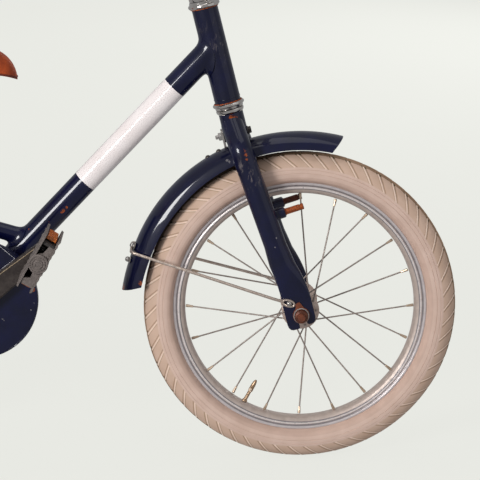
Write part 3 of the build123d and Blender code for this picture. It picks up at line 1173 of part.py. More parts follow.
boss_end = eye_in - STAND_AXIS * SEAT_CLEARANCE
pin_end = eye_out + STAND_AXIS * SEAT_CLEARANCE
with BuildPart() as stand_bracket:
    with BuildSketch(side_plane(dropout_outer)):
        disc(chain_stay_end + Vector(STAND_PLATE_REACH, 0, 0), STAND_PLATE_UPPER_RADIUS)
        disc(STAND_PIVOT - Vector(0, 0, STAND_PLATE_PIVOT_HEIGHT), STAND_PLATE_LOWER_RADIUS)
        make_hull()
    extrude(amount=-STAND_PLATE_THICKNESS)
    rod(STAND_PIVOT - STAND_AXIS * STAND_BOSS_LENGTH, boss_end, STAND_BOSS_RADIUS)
    with BuildSketch(side_plane(dropout_outer)):
        with Locations((STAND_PIVOT.X, STAND_PIVOT.Z)):
            Rectangle(4 * STAND_BOSS_RADIUS, 4 * STAND_BOSS_RADIUS)
    extrude(amount=STAND_BOSS_LENGTH, mode=Mode.SUBTRACT)
    rod(boss_end, pin_end, STAND_PIN_RADIUS)
    rod(pin_end, pin_end + STAND_AXIS * STAND_PIN_HEAD_HEIGHT, STAND_PIN_HEAD_RADIUS)
    add(pieces["chain_stay_left"], mode=Mode.SUBTRACT)
keep("stand_bracket", stand_bracket)

# lean the bicycle onto its stand and set the middle of its footprint at the origin
leaned = Compound(children=[piece.moved(Rot(X=-LEAN_ANGLE)) for piece in pieces.values()])
footprint = leaned.bounding_box()
PARKED = Pos(-footprint.center().X, -footprint.center().Y, -footprint.min.Z) * Rot(X=-LEAN_ANGLE)

if __name__ == "__main__":
    os.makedirs("parts", exist_ok=True)
    for piece_name, piece in pieces.items():
        parked = piece.moved(PARKED)
        parked.label = piece_name
        export_step(parked, f"parts/{piece_name}.step")
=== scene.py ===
import json
from math import acos, asin, atan2, cos, degrees, exp, pi, radians, sin, sqrt
import bmesh
import bpy
import numpy
from mathutils import Matrix, Vector


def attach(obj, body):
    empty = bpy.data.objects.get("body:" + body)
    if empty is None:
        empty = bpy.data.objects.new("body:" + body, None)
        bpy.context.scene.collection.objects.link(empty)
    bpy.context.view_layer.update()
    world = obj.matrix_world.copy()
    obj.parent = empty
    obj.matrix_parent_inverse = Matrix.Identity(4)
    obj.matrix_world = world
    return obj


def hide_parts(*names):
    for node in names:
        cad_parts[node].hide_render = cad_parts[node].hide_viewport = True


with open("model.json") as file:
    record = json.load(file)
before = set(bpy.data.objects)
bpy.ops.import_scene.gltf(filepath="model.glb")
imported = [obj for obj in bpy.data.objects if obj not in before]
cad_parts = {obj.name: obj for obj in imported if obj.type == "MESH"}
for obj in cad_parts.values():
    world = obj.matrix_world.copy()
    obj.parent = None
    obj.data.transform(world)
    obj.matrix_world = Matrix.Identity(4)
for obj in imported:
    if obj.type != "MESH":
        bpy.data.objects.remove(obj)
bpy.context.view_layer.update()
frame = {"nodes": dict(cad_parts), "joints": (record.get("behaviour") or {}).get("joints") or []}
nodes = frame["nodes"]
joints = {joint["name"]: joint for joint in frame["joints"]}

# The bicycle is described upright and in millimetres: x forward from the rear axle, y to its left, z up.
MM = 0.001
MERGE_DISTANCE = 0.000002
TYRE_RADIUS = 199.5
forward_way = Vector((1, 0, 0))
left_way = Vector(joints["rear_wheel_spin"]["axis"]).normalized()
up_way = forward_way.cross(left_way)
ground = Vector(joints["rear_wheel_spin"]["pos_m"]) - up_way * (TYRE_RADIUS * MM)
PARK = Matrix.Translation(ground) @ Matrix((forward_way, left_way, up_way)).transposed().to_4x4()
UPRIGHT = PARK.inverted()
LEFT = Vector((0, 1, 0))


def place_of(joint_name):
    """A joint's place on the upright bicycle."""
    return UPRIGHT @ Vector(joints[joint_name]["pos_m"]) / MM


def points_of(node_name):
    """A node's vertices on the upright bicycle, as an array."""
    mesh = nodes[node_name].data
    flat = numpy.empty(3 * len(mesh.vertices))
    mesh.vertices.foreach_get("co", flat)
    turn = numpy.array(UPRIGHT)
    return (flat.reshape(-1, 3) @ turn[:3, :3].T + turn[:3, 3]) / MM


def ends_of(node_name):
    """The two ends of a long round node, on its own axis."""
    points = points_of(node_name)
    middle = (points.min(0) + points.max(0)) / 2
    line = numpy.linalg.svd(points - points.mean(0), full_matrices=False)[2][0]
    along = (points - middle) @ line
    return Vector(middle + line * along.min()), Vector(middle + line * along.max())


FRONT_AXLE = place_of("front_wheel_spin")
REAR_AXLE = place_of("rear_wheel_spin")
SHELL = place_of("crank_spin")
WHEELS = (("front", FRONT_AXLE), ("rear", REAR_AXLE))
SIDES = (("right", -1), ("left", 1))
STEER_UP = UPRIGHT.to_3x3() @ Vector(joints["steering_turn"]["axis"])
STEER_FORWARD = Vector((STEER_UP.z, 0, -STEER_UP.x))
steer_place = place_of("steering_turn")
STEER_ORIGIN = steer_place + STEER_UP * ((FRONT_AXLE.z - steer_place.z) / STEER_UP.z)
AXLE_UP = (FRONT_AXLE - STEER_ORIGIN).dot(STEER_UP)
FORK_RAKE = (FRONT_AXLE - STEER_ORIGIN).dot(STEER_FORWARD)


def steer(forward, left, up):
    """A point given from the steering axis: forward of it, to its left, and up along it."""
    return STEER_ORIGIN + STEER_FORWARD * forward + Vector((0, left, 0)) + STEER_UP * up


def around(centre, radius, angle, left=0.0):
    """A point at a radius and an angle from an axle, counted up from straight ahead."""
    return centre + Vector((radius * cos(radians(angle)), left, radius * sin(radians(angle))))


def aside(point, left):
    """The same point moved sideways to a distance from the middle plane."""
    return Vector((point.x, left, point.z))


def blend(first, second, share):
    """A value or a point part of the way from one to another."""
    return first + (second - first) * share

def held(value):
    """A value held between 0 and 1."""
    return min(1.0, max(0.0, value))


def signed_power(value, power):
    """A power of a value's size, with the value's own sign."""
    return abs(value) ** power * (1 if value >= 0 else -1)


def turns(count):
    """The even angles of one full turn."""
    return [2 * pi * k / count for k in range(count)]


def ring_of(centre, across, beside, radius, count):
    """Points of a circle, from two directions in its plane."""
    return [centre + across * (radius * cos(a)) + beside * (radius * sin(a)) for a in turns(count)]


def circle(centre, radius, count, left):
    """Points of a circle round an axle, at a distance from the middle plane."""
    return [around(centre, radius, 360 * k / count, left) for k in range(count)]


def steer_ring(radius, up, count):
    """Points of a circle round the steering axis, at a height along it."""
    return [steer(radius * cos(a), radius * sin(a), up) for a in turns(count)]


def middle_of(node_name):
    """The middle of a node's box on the upright bicycle."""
    points = points_of(node_name)
    return Vector((points.min(0) + points.max(0)) / 2)


# the photograph's camera, in pixels and from the front axle
PHOTO_SIZE = 480
PHOTO_FOCAL = 2415.5
CAMERA_AT = FRONT_AXLE + Vector((-116.4, -3000.0, 726.7))
CAMERA_YAW = radians(0.77)
CAMERA_PITCH = radians(12.08)
AHEAD = Vector((sin(CAMERA_YAW) * cos(CAMERA_PITCH), cos(CAMERA_YAW) * cos(CAMERA_PITCH), -sin(CAMERA_PITCH)))
SIDEWAYS = AHEAD.cross(Vector((0, 0, 1))).normalized()
UPWARDS = SIDEWAYS.cross(AHEAD)


def photo_place(mark, left):
    """Where a pixel of the photograph lies on a plane at a distance from the middle plane."""
    across = (mark[0] - PHOTO_SIZE / 2) / PHOTO_FOCAL
    down = (mark[1] - PHOTO_SIZE / 2) / PHOTO_FOCAL
    ray = AHEAD + SIDEWAYS * across - UPWARDS * down
    return CAMERA_AT + ray * ((left - CAMERA_AT.y) / ray.y)


class Shape:
    """The vertices and faces of one piece, on the upright bicycle."""

    def __init__(self):
        self.points = []
        self.faces = []
        self.looks = []

    def face(self, corners, look=0):
        self.faces.append(tuple(corners))
        self.looks.append(look)

    def grid(self, rows, ring=True, loop=False, look=0, caps=False):
        """Faces between rows of points; ring closes each row, loop joins the last row to the first."""
        base = len(self.points)
        width = len(rows[0])
        for row in rows:
            self.points.extend(row)
        for i in range(len(rows) if loop else len(rows) - 1):
            here = base + i * width
            there = base + (i + 1) % len(rows) * width
            for j in range(width if ring else width - 1):
                k = (j + 1) % width
                self.face((here + j, here + k, there + k, there + j), look)
        if caps:
            self.face([base + j for j in range(width)], look)
            self.face([base + (len(rows) - 1) * width + j for j in range(width)], look)

    def tube(self, path, radius, sides=10, look=0, closed=False):
        """A round wire along points."""
        rows = []
        across = None
        for i, point in enumerate(path):
            if closed:
                ahead = (path[(i + 1) % len(path)] - path[i - 1]).normalized()
            else:
                ahead = (path[min(i + 1, len(path) - 1)] - path[max(i - 1, 0)]).normalized()
            if across is None:
                across = ahead.orthogonal()
            across = (across - ahead * across.dot(ahead)).normalized()
            rows.append(ring_of(point, across, ahead.cross(across), radius, sides))
        self.grid(rows, loop=closed, look=look, caps=not closed)

    def turned(self, centre, axis, outline, sides=40, look=0):
        """A solid of revolution from (radius, along the axis) points."""
        axis = axis.normalized()
        across = axis.orthogonal().normalized()
        beside = axis.cross(across)
        rows = [ring_of(centre + axis * along, across, beside, radius, sides) for radius, along in outline]
        self.grid(rows, look=look, caps=True)

    def plate(self, outline, push, edge, look=0):
        """A flat outline pushed along a vector, with its two rims eased."""
        normal = push.normalized()
        count = len(outline)
        crossed = (outline[j].cross(outline[(j + 1) % count]) for j in range(count))
        turning = sum(crossed, Vector()).dot(normal)
        eased = []
        for j in range(count):
            back = (outline[j] - outline[j - 1]).normalized()
            on = (outline[(j + 1) % count] - outline[j]).normalized()
            inward = normal.cross(back + on)
            eased.append(outline[j] + (inward.normalized() if turning > 0 else -inward.normalized()) * edge)
        step = normal * edge
        rows = [eased, [p + step for p in outline], [p + push - step for p in outline],
                [p + push for p in eased]]
        self.grid(rows, look=look, caps=True)

    def bolt(self, place, way, radius, height, look=0, sides=6, stud=0.0):
        """A nut or bolt head on a face: flats, an eased top, and the end of its thread."""
        outline = [(radius, 0.0), (radius, height * 0.8), (radius * 0.86, height)]
        if stud:
            outline += [(stud, height), (stud, height + stud), (stud * 0.7, height + stud * 1.3)]
        else:
            outline += [(radius * 0.5, height), (radius * 0.42, height * 0.7)]
        self.turned(place, way, outline, sides, look)

    def dome(self, place, way, radius, height, look=0, sides=16):
        """A low round rivet head."""
        steps = [pi / 2 * j / 5 for j in range(5)]
        self.turned(place, way, [(radius * cos(a), height * sin(a)) for a in steps], sides, look)

    def make(self, name, body, materials, replaces=(), edge=35):
        """Puts the piece on the parked bicycle, on a body, with its materials."""
        mesh = bpy.data.meshes.new(name)
        mesh.from_pydata([PARK @ (point * MM) for point in self.points], [], self.faces)
        for material in materials:
            mesh.materials.append(material)
        mesh.polygons.foreach_set("material_index", self.looks)
        work = bmesh.new()
        work.from_mesh(mesh)
        bmesh.ops.remove_doubles(work, verts=work.verts, dist=MERGE_DISTANCE)
        bmesh.ops.recalc_face_normals(work, faces=work.faces)
        work.to_mesh(mesh)
        work.free()
        mesh.shade_smooth()
        mesh.set_sharp_from_angle(angle=radians(edge))
        piece = bpy.data.objects.new(name, mesh)
        bpy.context.scene.collection.objects.link(piece)
        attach(piece, body)
        if replaces:
            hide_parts(*replaces)
        return piece


def rounded(corners, radius, steps=8):
    """A path of straight runs with round bends at its inner corners."""
    path = [corners[0]]
    for before, corner, after in zip(corners, corners[1:], corners[2:]):
        back = (before - corner).normalized()
        on = (after - corner).normalized()
        half = back.angle(on) / 2
        reach = min(radius * cos(half) / sin(half), (before - corner).length / 2, (after - corner).length / 2)
        start = corner + back * reach
        end = corner + on * reach
        for k in range(steps + 1):
            share = k / steps
            path.append(blend(blend(start, corner, share), blend(corner, end, share), share))
    path.append(corners[-1])
    return path


def loop_round(circles, steps=14):
    """The outline round two circles of (forward, up, radius), as (forward, up) points."""
    (ax, az, ar), (bx, bz, br) = circles
    line = atan2(bz - az, bx - ax)
    lean = acos((ar - br) / sqrt((bx - ax) ** 2 + (bz - az) ** 2))
    outline = []
    for k in range(steps + 1):
        angle = line + blend(-lean, lean, k / steps)
        outline.append((bx + br * cos(angle), bz + br * sin(angle)))
    for k in range(steps + 1):
        angle = line + blend(lean, 2 * pi - lean, k / steps)
        outline.append((ax + ar * cos(angle), az + ar * sin(angle)))
    return outline


def linear(red, green, blue):
    """A screen colour of 0 to 255 as linear values of 0 to 1, opaque."""
    parts = [c / 255 for c in (red, green, blue)]
    return tuple(c / 12.92 if c < 0.04045 else ((c + 0.055) / 1.055) ** 2.4 for c in parts) + (1.0,)


class Look:
    """A procedural material whose patterns stay in place on the bicycle."""

    def __init__(self, name, roughness=0.5, metallic=0.0, coat=0.0, coat_roughness=0.1, specular=0.5):
        self.material = bpy.data.materials.new(name)
        self.material.use_nodes = True
        self.tree = self.material.node_tree
        self.shader = self.tree.nodes["Principled BSDF"]
        values = {"Roughness": roughness, "Metallic": metallic, "Coat Weight": coat,
                  "Coat Roughness": coat_roughness, "Specular IOR Level": specular}
        for key, value in values.items():
            self.shader.inputs[key].default_value = value
        where = self.node("TexCoord", "Object", {})
        upright = {"Vector": where, "Location": UPRIGHT.to_translation(), "Rotation": UPRIGHT.to_euler()}
        self.place = self.node("Mapping", "Vector", upright)

    def put(self, source, socket):
        """Feeds a node's output, or sets a plain value, on an input."""
        if isinstance(source, bpy.types.NodeSocket):
            self.tree.links.new(source, socket)
        else:
            socket.default_value = source

    def node(self, kind, output, inputs, **settings):
        """Adds a node, feeds or sets its inputs, and gives one of its outputs."""
        node = self.tree.nodes.new("ShaderNode" + kind)
        for key, value in settings.items():
            setattr(node, key, value)
        for key, source in inputs.items():
            self.put(source, node.inputs[key])
        return node.outputs[output]

    def noise(self, size, detail=3.0, rough=0.5, stretch=(1, 1, 1), seed=0.0):
        """A noise pattern of a feature size in millimetres, from 0 to 1."""
        shift = (seed, seed * 1.7, seed * 0.3)
        place = self.node("Mapping", "Vector", {"Vector": self.place, "Scale": stretch, "Location": shift})
        inputs = {"Vector": place, "Scale": 1 / (size * MM), "Detail": detail, "Roughness": rough}
        return self.node("TexNoise", "Fac", inputs)

    def cells(self, size):
        """Distances in a pattern of cells of a size in millimetres."""
        return self.node("TexVoronoi", "Distance", {"Vector": self.place, "Scale": 1 / (size * MM)})

    def sum(self, kind, first, second):
        """One step of arithmetic on two values or patterns."""
        return self.node("Math", 0, {0: first, 1: second}, operation=kind)

    def span(self, source, low, high, out_low=0.0, out_high=1.0):
        """Stretches a run of values to another, held at its ends."""
        inputs = {"Value": source, "From Min": low, "From Max": high, "To Min": out_low, "To Max": out_high}
        return self.node("MapRange", "Result", inputs)

    def mix(self, factor, first, second):
        """A colour part of the way from one to another."""
        return self.node("Mix", 2, {0: factor, 6: first, 7: second}, data_type="RGBA")

    def clouds(self, size, detail, low, high, first, second):
        """Two colours in soft patches of a size in millimetres."""
        return self.mix(self.span(self.noise(size, detail), low, high), first, second)

    def rust(self, size):
        """Rust in two browns, in flecks of a size in millimetres."""
        return self.clouds(size, 3, 0.35, 0.65, linear(*RUST), linear(*RUST_DARK))

    def distance(self, point):
        """How far a place is from a point of the bicycle, in millimetres."""
        inputs = {0: self.place, 1: Vector(point) * MM}
        return self.sum("DIVIDE", self.node("VectorMath", "Value", inputs, operation="DISTANCE"), MM)

    def along(self, origin, line):
        """How far a place is along a line from a point, in millimetres."""
        inputs = {0: self.place, 1: Vector(origin) * MM}
        offset = self.node("VectorMath", "Vector", inputs, operation="SUBTRACT")
        reach = self.node("VectorMath", "Value", {0: offset, 1: Vector(line)}, operation="DOT_PRODUCT")
        return self.sum("DIVIDE", reach, MM)

    def colour(self, source):
        self.put(source, self.shader.inputs["Base Color"])

    def rough(self, source):
        self.put(source, self.shader.inputs["Roughness"])

    def bump(self, height, depth, strength):
        """Raises the surface by a height pattern, with its depth in millimetres."""
        inputs = {"Height": height, "Distance": depth * MM, "Strength": strength}
        self.put(self.node("Bump", "Normal", inputs), self.shader.inputs["Normal"])


# colours
NAVY = linear(8, 12, 50)
NAVY_DEEP = linear(6, 9, 38)
WHITE = linear(247, 239, 237)
WHITE_SHADE = linear(238, 227, 224)
SCRATCH = linear(110, 106, 112)
# the pale streaks' colour: wear, and on the fork partly a painted highlight
STREAK = linear(164, 152, 146)
SCUFF = linear(190, 184, 182)
RUST = (186, 88, 28)
RUST_DARK = (104, 52, 28)
STEEL = (206, 202, 198)
STEEL_DULL = (158, 150, 144)
BAND_BLUR = 0.2


def enamel(name, chips=(), scuffs=(), band=None, streaks=None):
    """Glossy dark blue enamel with fine scratches, pale scuffs, and rust where it has chipped off."""
    look = Look(name, coat=0.62, coat_roughness=0.04, specular=0.12)
    colour = look.clouds(28, 4, 0.35, 0.7, NAVY_DEEP, NAVY)
    scratch = look.span(look.noise(3.2, 2, 0.6, (1, 1, 9), 3.1), 0.71, 0.77)
    colour = look.mix(look.sum("MULTIPLY", scratch, 0.2), colour, SCRATCH)
    if band:
        origin, line, start, end = band
        place = look.along(origin, line)
        lower = look.span(place, start - BAND_BLUR, start + BAND_BLUR)
        upper = look.span(place, end + BAND_BLUR, end - BAND_BLUR)
        white = look.clouds(40, 3, 0.3, 0.7, WHITE, WHITE_SHADE)
        colour = look.mix(look.sum("MULTIPLY", lower, upper), colour, white)
    edge = look.noise(1.5, 4, 0.7)
    rust = look.rust(1.6)
    # pale streaks: wear, and on the fork partly a painted highlight
    if streaks:
        centre, reach, share = streaks
        worn = look.span(look.noise(4.5, 6, 0.75, (1, 1, 0.3), 5.3), 0.54, 0.72, 0.0, share)
        near = look.span(look.distance(centre), reach, reach * 0.3)
        colour = look.mix(look.sum("MULTIPLY", worn, near), colour, STREAK)
    for places, worn, share in ((chips, rust, 0.95), (scuffs, SCUFF, 0.32)):
        for place, size in places:
            spread = look.sum("ADD", look.distance(place), look.sum("MULTIPLY", edge, size * 3.0))
            colour = look.mix(look.span(spread, size * 2.4, size * 2.1, 0.0, share), colour, worn)
    look.colour(colour)
    look.rough(look.span(look.noise(9, 4), 0.3, 0.8, 0.3, 0.5))
    look.bump(look.noise(1.2, 2), 0.02, 0.15)
    return look.material


def metal(name, bright, dull, low, high, rust=0.0, metallic=0.9):
    """Bare metal with a faint cloudy polish; rust is the share of its surface that has gone brown."""
    look = Look(name, metallic=metallic)
    colour = look.clouds(7, 3, 0.25, 0.75, linear(*bright), linear(*dull))
    if rust:
        spread = look.noise(3.5, 5, 0.65)
        colour = look.mix(look.span(spread, 0.74 - 0.5 * rust, 0.82 - 0.5 * rust), colour, look.rust(1.4))
    look.colour(colour)
    look.rough(look.span(look.noise(3, 4), 0.3, 0.7, low, high))
    look.bump(look.noise(0.8, 3), 0.03, 0.2)
    return look.material


def rubber(name, light, dark, dirt, share):
    """Cream tyre rubber; the share of road dirt on it grows towards the tread, and the strips' tones add
    painted highlight and shade.
    """
    look = Look(name, specular=0.25)
    colour = look.clouds(18, 4, 0.3, 0.7, linear(*light), linear(*dark))
    speck = look.span(look.noise(2.2, 4, 0.65), 0.74 - 0.4 * share, 0.86 - 0.4 * share)
    colour = look.mix(look.sum("MULTIPLY", speck, 0.25 + 0.5 * share), colour, linear(*dirt))
    look.colour(colour)
    look.rough(look.span(look.noise(5, 3), 0.3, 0.7, 0.62, 0.85))
    look.bump(look.noise(0.7, 2), 0.05, 0.35)
    return look.material


def leather(name, light, dark, low, high, coat):
    """Dyed leather with a fine pebbled grain, darker in the grain's hollows."""
    look = Look(name, coat=coat, coat_roughness=0.35, specular=0.25)
    colour = look.clouds(14, 5, 0.3, 0.7, linear(*light), linear(*dark))
    grain = look.cells(1.1)
    colour = look.mix(look.sum("MULTIPLY", look.span(grain, 0.45, 0.75), 0.25), colour, linear(*dark))
    look.colour(colour)
    look.rough(look.span(look.noise(4, 4), 0.3, 0.7, low, high))
    look.bump(look.sum("SUBTRACT", look.noise(9, 3), grain), 0.06, 0.35)
    return look.material


def plastic(name, light, dark, low, high):
    """Moulded plastic with a fine satin grain."""
    look = Look(name, specular=0.4)
    look.colour(look.clouds(6.0, 4, 0.3, 0.7, linear(*light), linear(*dark)))
    look.rough(look.span(look.noise(3.0, 4), 0.3, 0.7, low, high))
    look.bump(look.noise(0.5, 2), 0.05, 0.35)
    return look.material


def lens():
    """Clear amber plastic over a prism pattern."""
    look = Look("reflector_amber", coat=0.5, coat_roughness=0.05)
    cells = look.cells(2.2)
    look.colour(look.mix(look.span(cells, 0.2, 0.7), linear(232, 130, 36), linear(184, 88, 22)))
    look.rough(look.span(cells, 0.2, 0.7, 0.15, 0.35))
    look.bump(cells, 0.3, 0.6)
    return look.material


HEAD_BASE = 270.03
DOWN_TUBE_HIGH = 72.6
SEAT_TUBE_ANGLE = radians(72.5)
down_tube_top = steer(0, 0, HEAD_BASE + DOWN_TUBE_HIGH)
down_line = (down_tube_top - SHELL).normalized()
seat_line = Vector((-cos(SEAT_TUBE_ANGLE), 0, sin(SEAT_TUBE_ANGLE)))
# the white band's two ends: forward of the front axle, above the ground
BAND_LOWER_MARK = (-271.6, 360.9)
BAND_UPPER_MARK = (-158.3, 479.7)
# marks read off the photograph: pixel, distance from the middle plane, size
TUBE_CHIPS = (((62, 212), -15, 2.2), ((63.6, 210.6), -15, 2.6), ((66.6, 207.6), -15, 1.8),
              ((34, 222), -14, 2.0), ((28.6, 229), -13, 1.8), ((48.5, 222), -15, 1.4))
TUBE_SCUFFS = (((35, 219), -15, 0.9), ((49, 216), -16, 0.8), ((28, 231), -14, 0.8))
FORK_CHIPS = (((231.5, 117.6), -15, 3.6), ((234.2, 119.4), -16, 5.2), ((236.6, 119.6), -16, 3.4),
              ((244.6, 151), -52, 2.0), ((245.8, 155), -53, 2.8), ((246.6, 159.6), -54, 1.8))
FORK_SCUFFS = (((275, 247), -57, 1.6), ((276.4, 238), -57, 1.2))
FENDER_SCUFFS = (((322.5, 146), -20, 1.2), ((324.5, 147.5), -22, 1.4), ((326, 149), -24, 1.2),
                 ((259, 143), -24, 1.2), ((227, 160), -26, 2.6), ((229, 162), -27, 2.0),
                 ((302, 146), -22, 1.0), ((218, 166), -27, 1.4))
FENDER_CHIPS = (((123.2, 287), -8, 5.0), ((141, 283.4), -27.5, 3.4), ((125.4, 289), -5, 2.6))
# streaks: pixel, distance from the middle plane, reach, share; wear on the head tube, partly wear and partly
# a painted highlight on the fork
HEAD_STREAKS = ((214.5, 43), -17, 34.0, 0.3)
FORK_STREAKS_WEAR_AND_HIGHLIGHT = ((248, 174), -56, 26.0, 0.6)
GUARD_CHIPS = (((33, 290), -64, 2.6), ((33.6, 288.6), -64, 1.8))
GUARD_SCUFFS = (((34, 303), -64, 0.9), ((31, 310), -64, 1.0), ((2.6, 319), -64, 0.9), ((4, 320.5), -64, 0.9))


def marks(table):
    """Marks of the photograph as places on the bicycle with their sizes."""
    return [(photo_place(mark, left), size) for mark, left, size in table]


def streaks_at(mark, left, reach, share):
    """Streaks round a mark of the photograph, of wear and on the fork also of painted highlight: centre on
    the bicycle, reach, share.
    """
    return photo_place(mark, left), reach, share


def down_tube_reach(mark):
    """How far up the down tube a place beside it is, given from the front axle and the ground."""
    return (Vector((FRONT_AXLE.x + mark[0], 0, mark[1])) - SHELL).dot(down_line)


band = (SHELL, down_line, down_tube_reach(BAND_LOWER_MARK), down_tube_reach(BAND_UPPER_MARK))
navy = enamel("frame_enamel")
banded = enamel("frame_enamel_banded", marks(TUBE_CHIPS), marks(TUBE_SCUFFS), band)
head_navy = enamel("head_enamel", streaks=streaks_at(*HEAD_STREAKS))
fork_navy = enamel("fork_enamel", marks(FORK_CHIPS), marks(FORK_SCUFFS), streaks=streaks_at(*FORK_STREAKS_WEAR_AND_HIGHLIGHT))
fender_navy = enamel("fender_enamel", marks(FENDER_CHIPS), marks(FENDER_SCUFFS))
guard_navy = enamel("guard_enamel", marks(GUARD_CHIPS), marks(GUARD_SCUFFS))
chrome = metal("headset_chrome", (214, 210, 206), (186, 180, 174), 0.08, 0.2, rust=0.08, metallic=1.0)
bright = metal("bright_steel", STEEL, STEEL_DULL, 0.2, 0.4)
copper_steel = metal("stay_steel", (222, 208, 196), (190, 170, 156), 0.25, 0.4)
rusty = metal("rusty_steel", (150, 96, 62), RUST_DARK, 0.5, 0.75, rust=0.9, metallic=0.3)
nut_rust = metal("nut_rust", (112, 60, 38), (78, 41, 28), 0.35, 0.55, rust=0.12, metallic=0.4)
axle_rust = metal("axle_rust", (142, 78, 50), (96, 50, 35), 0.45, 0.65, rust=0.22, metallic=0.35)
rust_painted_shade = metal("rust_painted_shade", (96, 44, 26), (60, 30, 22), 0.5, 0.75, rust=0.25, metallic=0.3)
rim_light = metal("rim_light", (214, 206, 206), (200, 191, 190), 0.3, 0.42, metallic=0.35)
# the rim's flank, second ridge and bed are copies of the lip's metal in other tones: painted shade and a
# painted highlight
rim_grey_painted_shade = metal("rim_grey_painted_shade", (158, 150, 150), (138, 130, 131), 0.3, 0.42, metallic=0.4)
rim_white_painted_highlight = metal("rim_white_painted_highlight", (238, 230, 227), (224, 214, 210), 0.25, 0.4, metallic=0.35)
rim_warm_painted_shade = metal("rim_warm_painted_shade", (206, 190, 180), (186, 170, 160), 0.35, 0.5, metallic=0.35)
hub_steel = metal("hub_steel", (212, 192, 180), (178, 156, 144), 0.25, 0.45, rust=0.1, metallic=0.5)
spoke_steel = metal("spoke_steel", (176, 164, 156), (142, 130, 122), 0.5, 0.65, metallic=0.4)
brass = metal("valve_brass", (196, 166, 136), (150, 120, 92), 0.25, 0.4, metallic=0.7)
pale_brass = metal("nipple_brass", (206, 184, 162), (172, 148, 124), 0.3, 0.45, metallic=0.45)
crank_metal = metal("crank_steel", (78, 70, 66), (54, 47, 45), 0.32, 0.5, metallic=0.6)
edge_painted_highlight = metal("edge_painted_highlight", (190, 170, 142), (150, 130, 104), 0.3, 0.45, metallic=0.5)
chain_steel = metal("chain_steel", (120, 108, 98), (88, 74, 64), 0.35, 0.55, rust=0.35, metallic=0.7)
dark_steel = metal("dark_steel", (104, 98, 94), (76, 70, 68), 0.35, 0.55, metallic=0.7)
pedal_grey = plastic("pedal_plastic", (118, 108, 103), (92, 84, 80), 0.5, 0.75)
pedal_shade = plastic("pedal_shade", (58, 52, 50), (44, 40, 38), 0.6, 0.8)
stand_rubber = plastic("stand_rubber", (52, 48, 47), (38, 35, 34), 0.65, 0.85)
pin_line = plastic("guard_line", (206, 204, 206), (176, 174, 180), 0.4, 0.6)
amber = lens()
sidewall = rubber("tyre_rubber", (221, 193, 178), (212, 183, 167), (184, 152, 130), 0.0)
shoulder = rubber("tyre_shoulder", (215, 185, 165), (205, 174, 152), (168, 136, 110), 0.2)
# the ridges' strips: a paler copy of the rubber, a painted highlight
ridge = rubber("tyre_ridge_painted_highlight", (240, 214, 196), (232, 204, 184), (206, 174, 150), 0.05)
# the grooves' strips: a darker copy of the rubber, painted shade, with dirt specks
groove = rubber("tyre_groove_painted_shade", (188, 157, 134), (174, 142, 119), (132, 104, 82), 0.25)
# the tread's strips: darkened partly by road dirt and partly as painted shade
tread = rubber("tyre_tread", (172, 139, 112), (146, 115, 90), (88, 70, 50), 0.55)
bead = rubber("tyre_bead", (214, 184, 168), (202, 172, 156), (172, 140, 120), 0.1)
# the notches at the grooves' outer ends: dark partly from dirt and partly as painted shade
notch = rubber("tyre_notch_dirt_and_shade", (104, 90, 64), (84, 72, 50), (60, 50, 36), 0.4)
saddle_brown = leather("saddle_leather", (176, 74, 26), (134, 52, 18), 0.48, 0.62, 0.12)
saddle_dark = leather("saddle_binding", (112, 46, 26), (84, 34, 22), 0.5, 0.65, 0.1)
grip_brown = leather("grip_brown", (118, 62, 38), (82, 42, 28), 0.5, 0.7, 0.0)

# each node's look by its material slot, and the looks of single nodes
slot_looks = {
    "frame_paint": navy,
    "chrome": chrome,
    "bright_steel": bright,
    "rusty_steel": rusty,
    "rim_metal": rim_light,
    "valve_brass": brass,
    "tyre_rubber": sidewall,
    "crank_steel": crank_metal,
    "pedal_plastic": pedal_grey,
    "reflector": amber,
    "guard_plastic": guard_navy,
    "saddle_leather": saddle_brown,
    "grip_rubber": grip_brown,
}
for node in nodes.values():
    for slot in node.material_slots:
        wanted = slot.material.name.split(".")[0] if slot.material else ""
        if wanted in slot_looks:
            slot.material = slot_looks[wanted]
own_looks = {
    "down_tube": banded,
    "head_tube": head_navy,
    "fork_crown": fork_navy,
    "chainring": dark_steel,
    "sprocket": chain_steel,
    "coaster_arm": bright,
}
for node_name, own in own_looks.items():
    for slot in nodes[node_name].material_slots:
        slot.material = own

# tyres: a round casing with swept ridges on its shoulders, painted paler as highlight, with painted shade in
# the grooves beside them, a tread darkened partly by dirt and partly as painted shade, and two fine rings on
# each side
TREAD_REPEATS = 58
SECTION_RADIUS = 23.5
CASING_RADIUS = 23.0
SECTION_CENTRE = TYRE_RADIUS - SECTION_RADIUS
GROOVE_DEPTH = 0.5
# angles round the section from the middle of the tread
GROOVE_START = 14
TREAD_END = 20
RIDGE_START = 26.0
RIDGE_END = 77.0
RIDGE_FADE = 14
SWEEP_START = 10
RING_ANGLES = (82, 94)
BEAD_START = 109
SECTION_STEPS = (0, 5, 10, 15, 19, 22, 26, 30, 35, 41, 47, 53, 59, 65, 70, 74, 77, 79, 81, 82, 83, 87, 91,
                 93, 94, 95, 98, 102, 107, 112, 117)
BEAD_POINTS = ((164.0, 18.4), (162.4, 15.4), (161.4, 13.4), (161.2, 11.0))
SIDEWALL, SHOULDER, RIDGE, GROOVE, TREAD, BEAD, NOTCH = range(7)
TYRE_LOOKS = [sidewall, shoulder, ridge, groove, tread, bead, notch]
# share of one repeat, height there on the shoulder, look of the strip that starts there
RIDGE_PROFILE = ((0.0, 0.0, SHOULDER), (0.25, 0.05, SHOULDER), (0.48, 0.0, SHOULDER), (0.6, -0.1, GROOVE),
                 (0.67, -0.3, GROOVE), (0.72, -0.2, RIDGE), (0.76, 0.36, RIDGE), (0.82, 0.4, RIDGE),
                 (0.87, 0.1, GROOVE), (0.93, 0.0, SHOULDER))


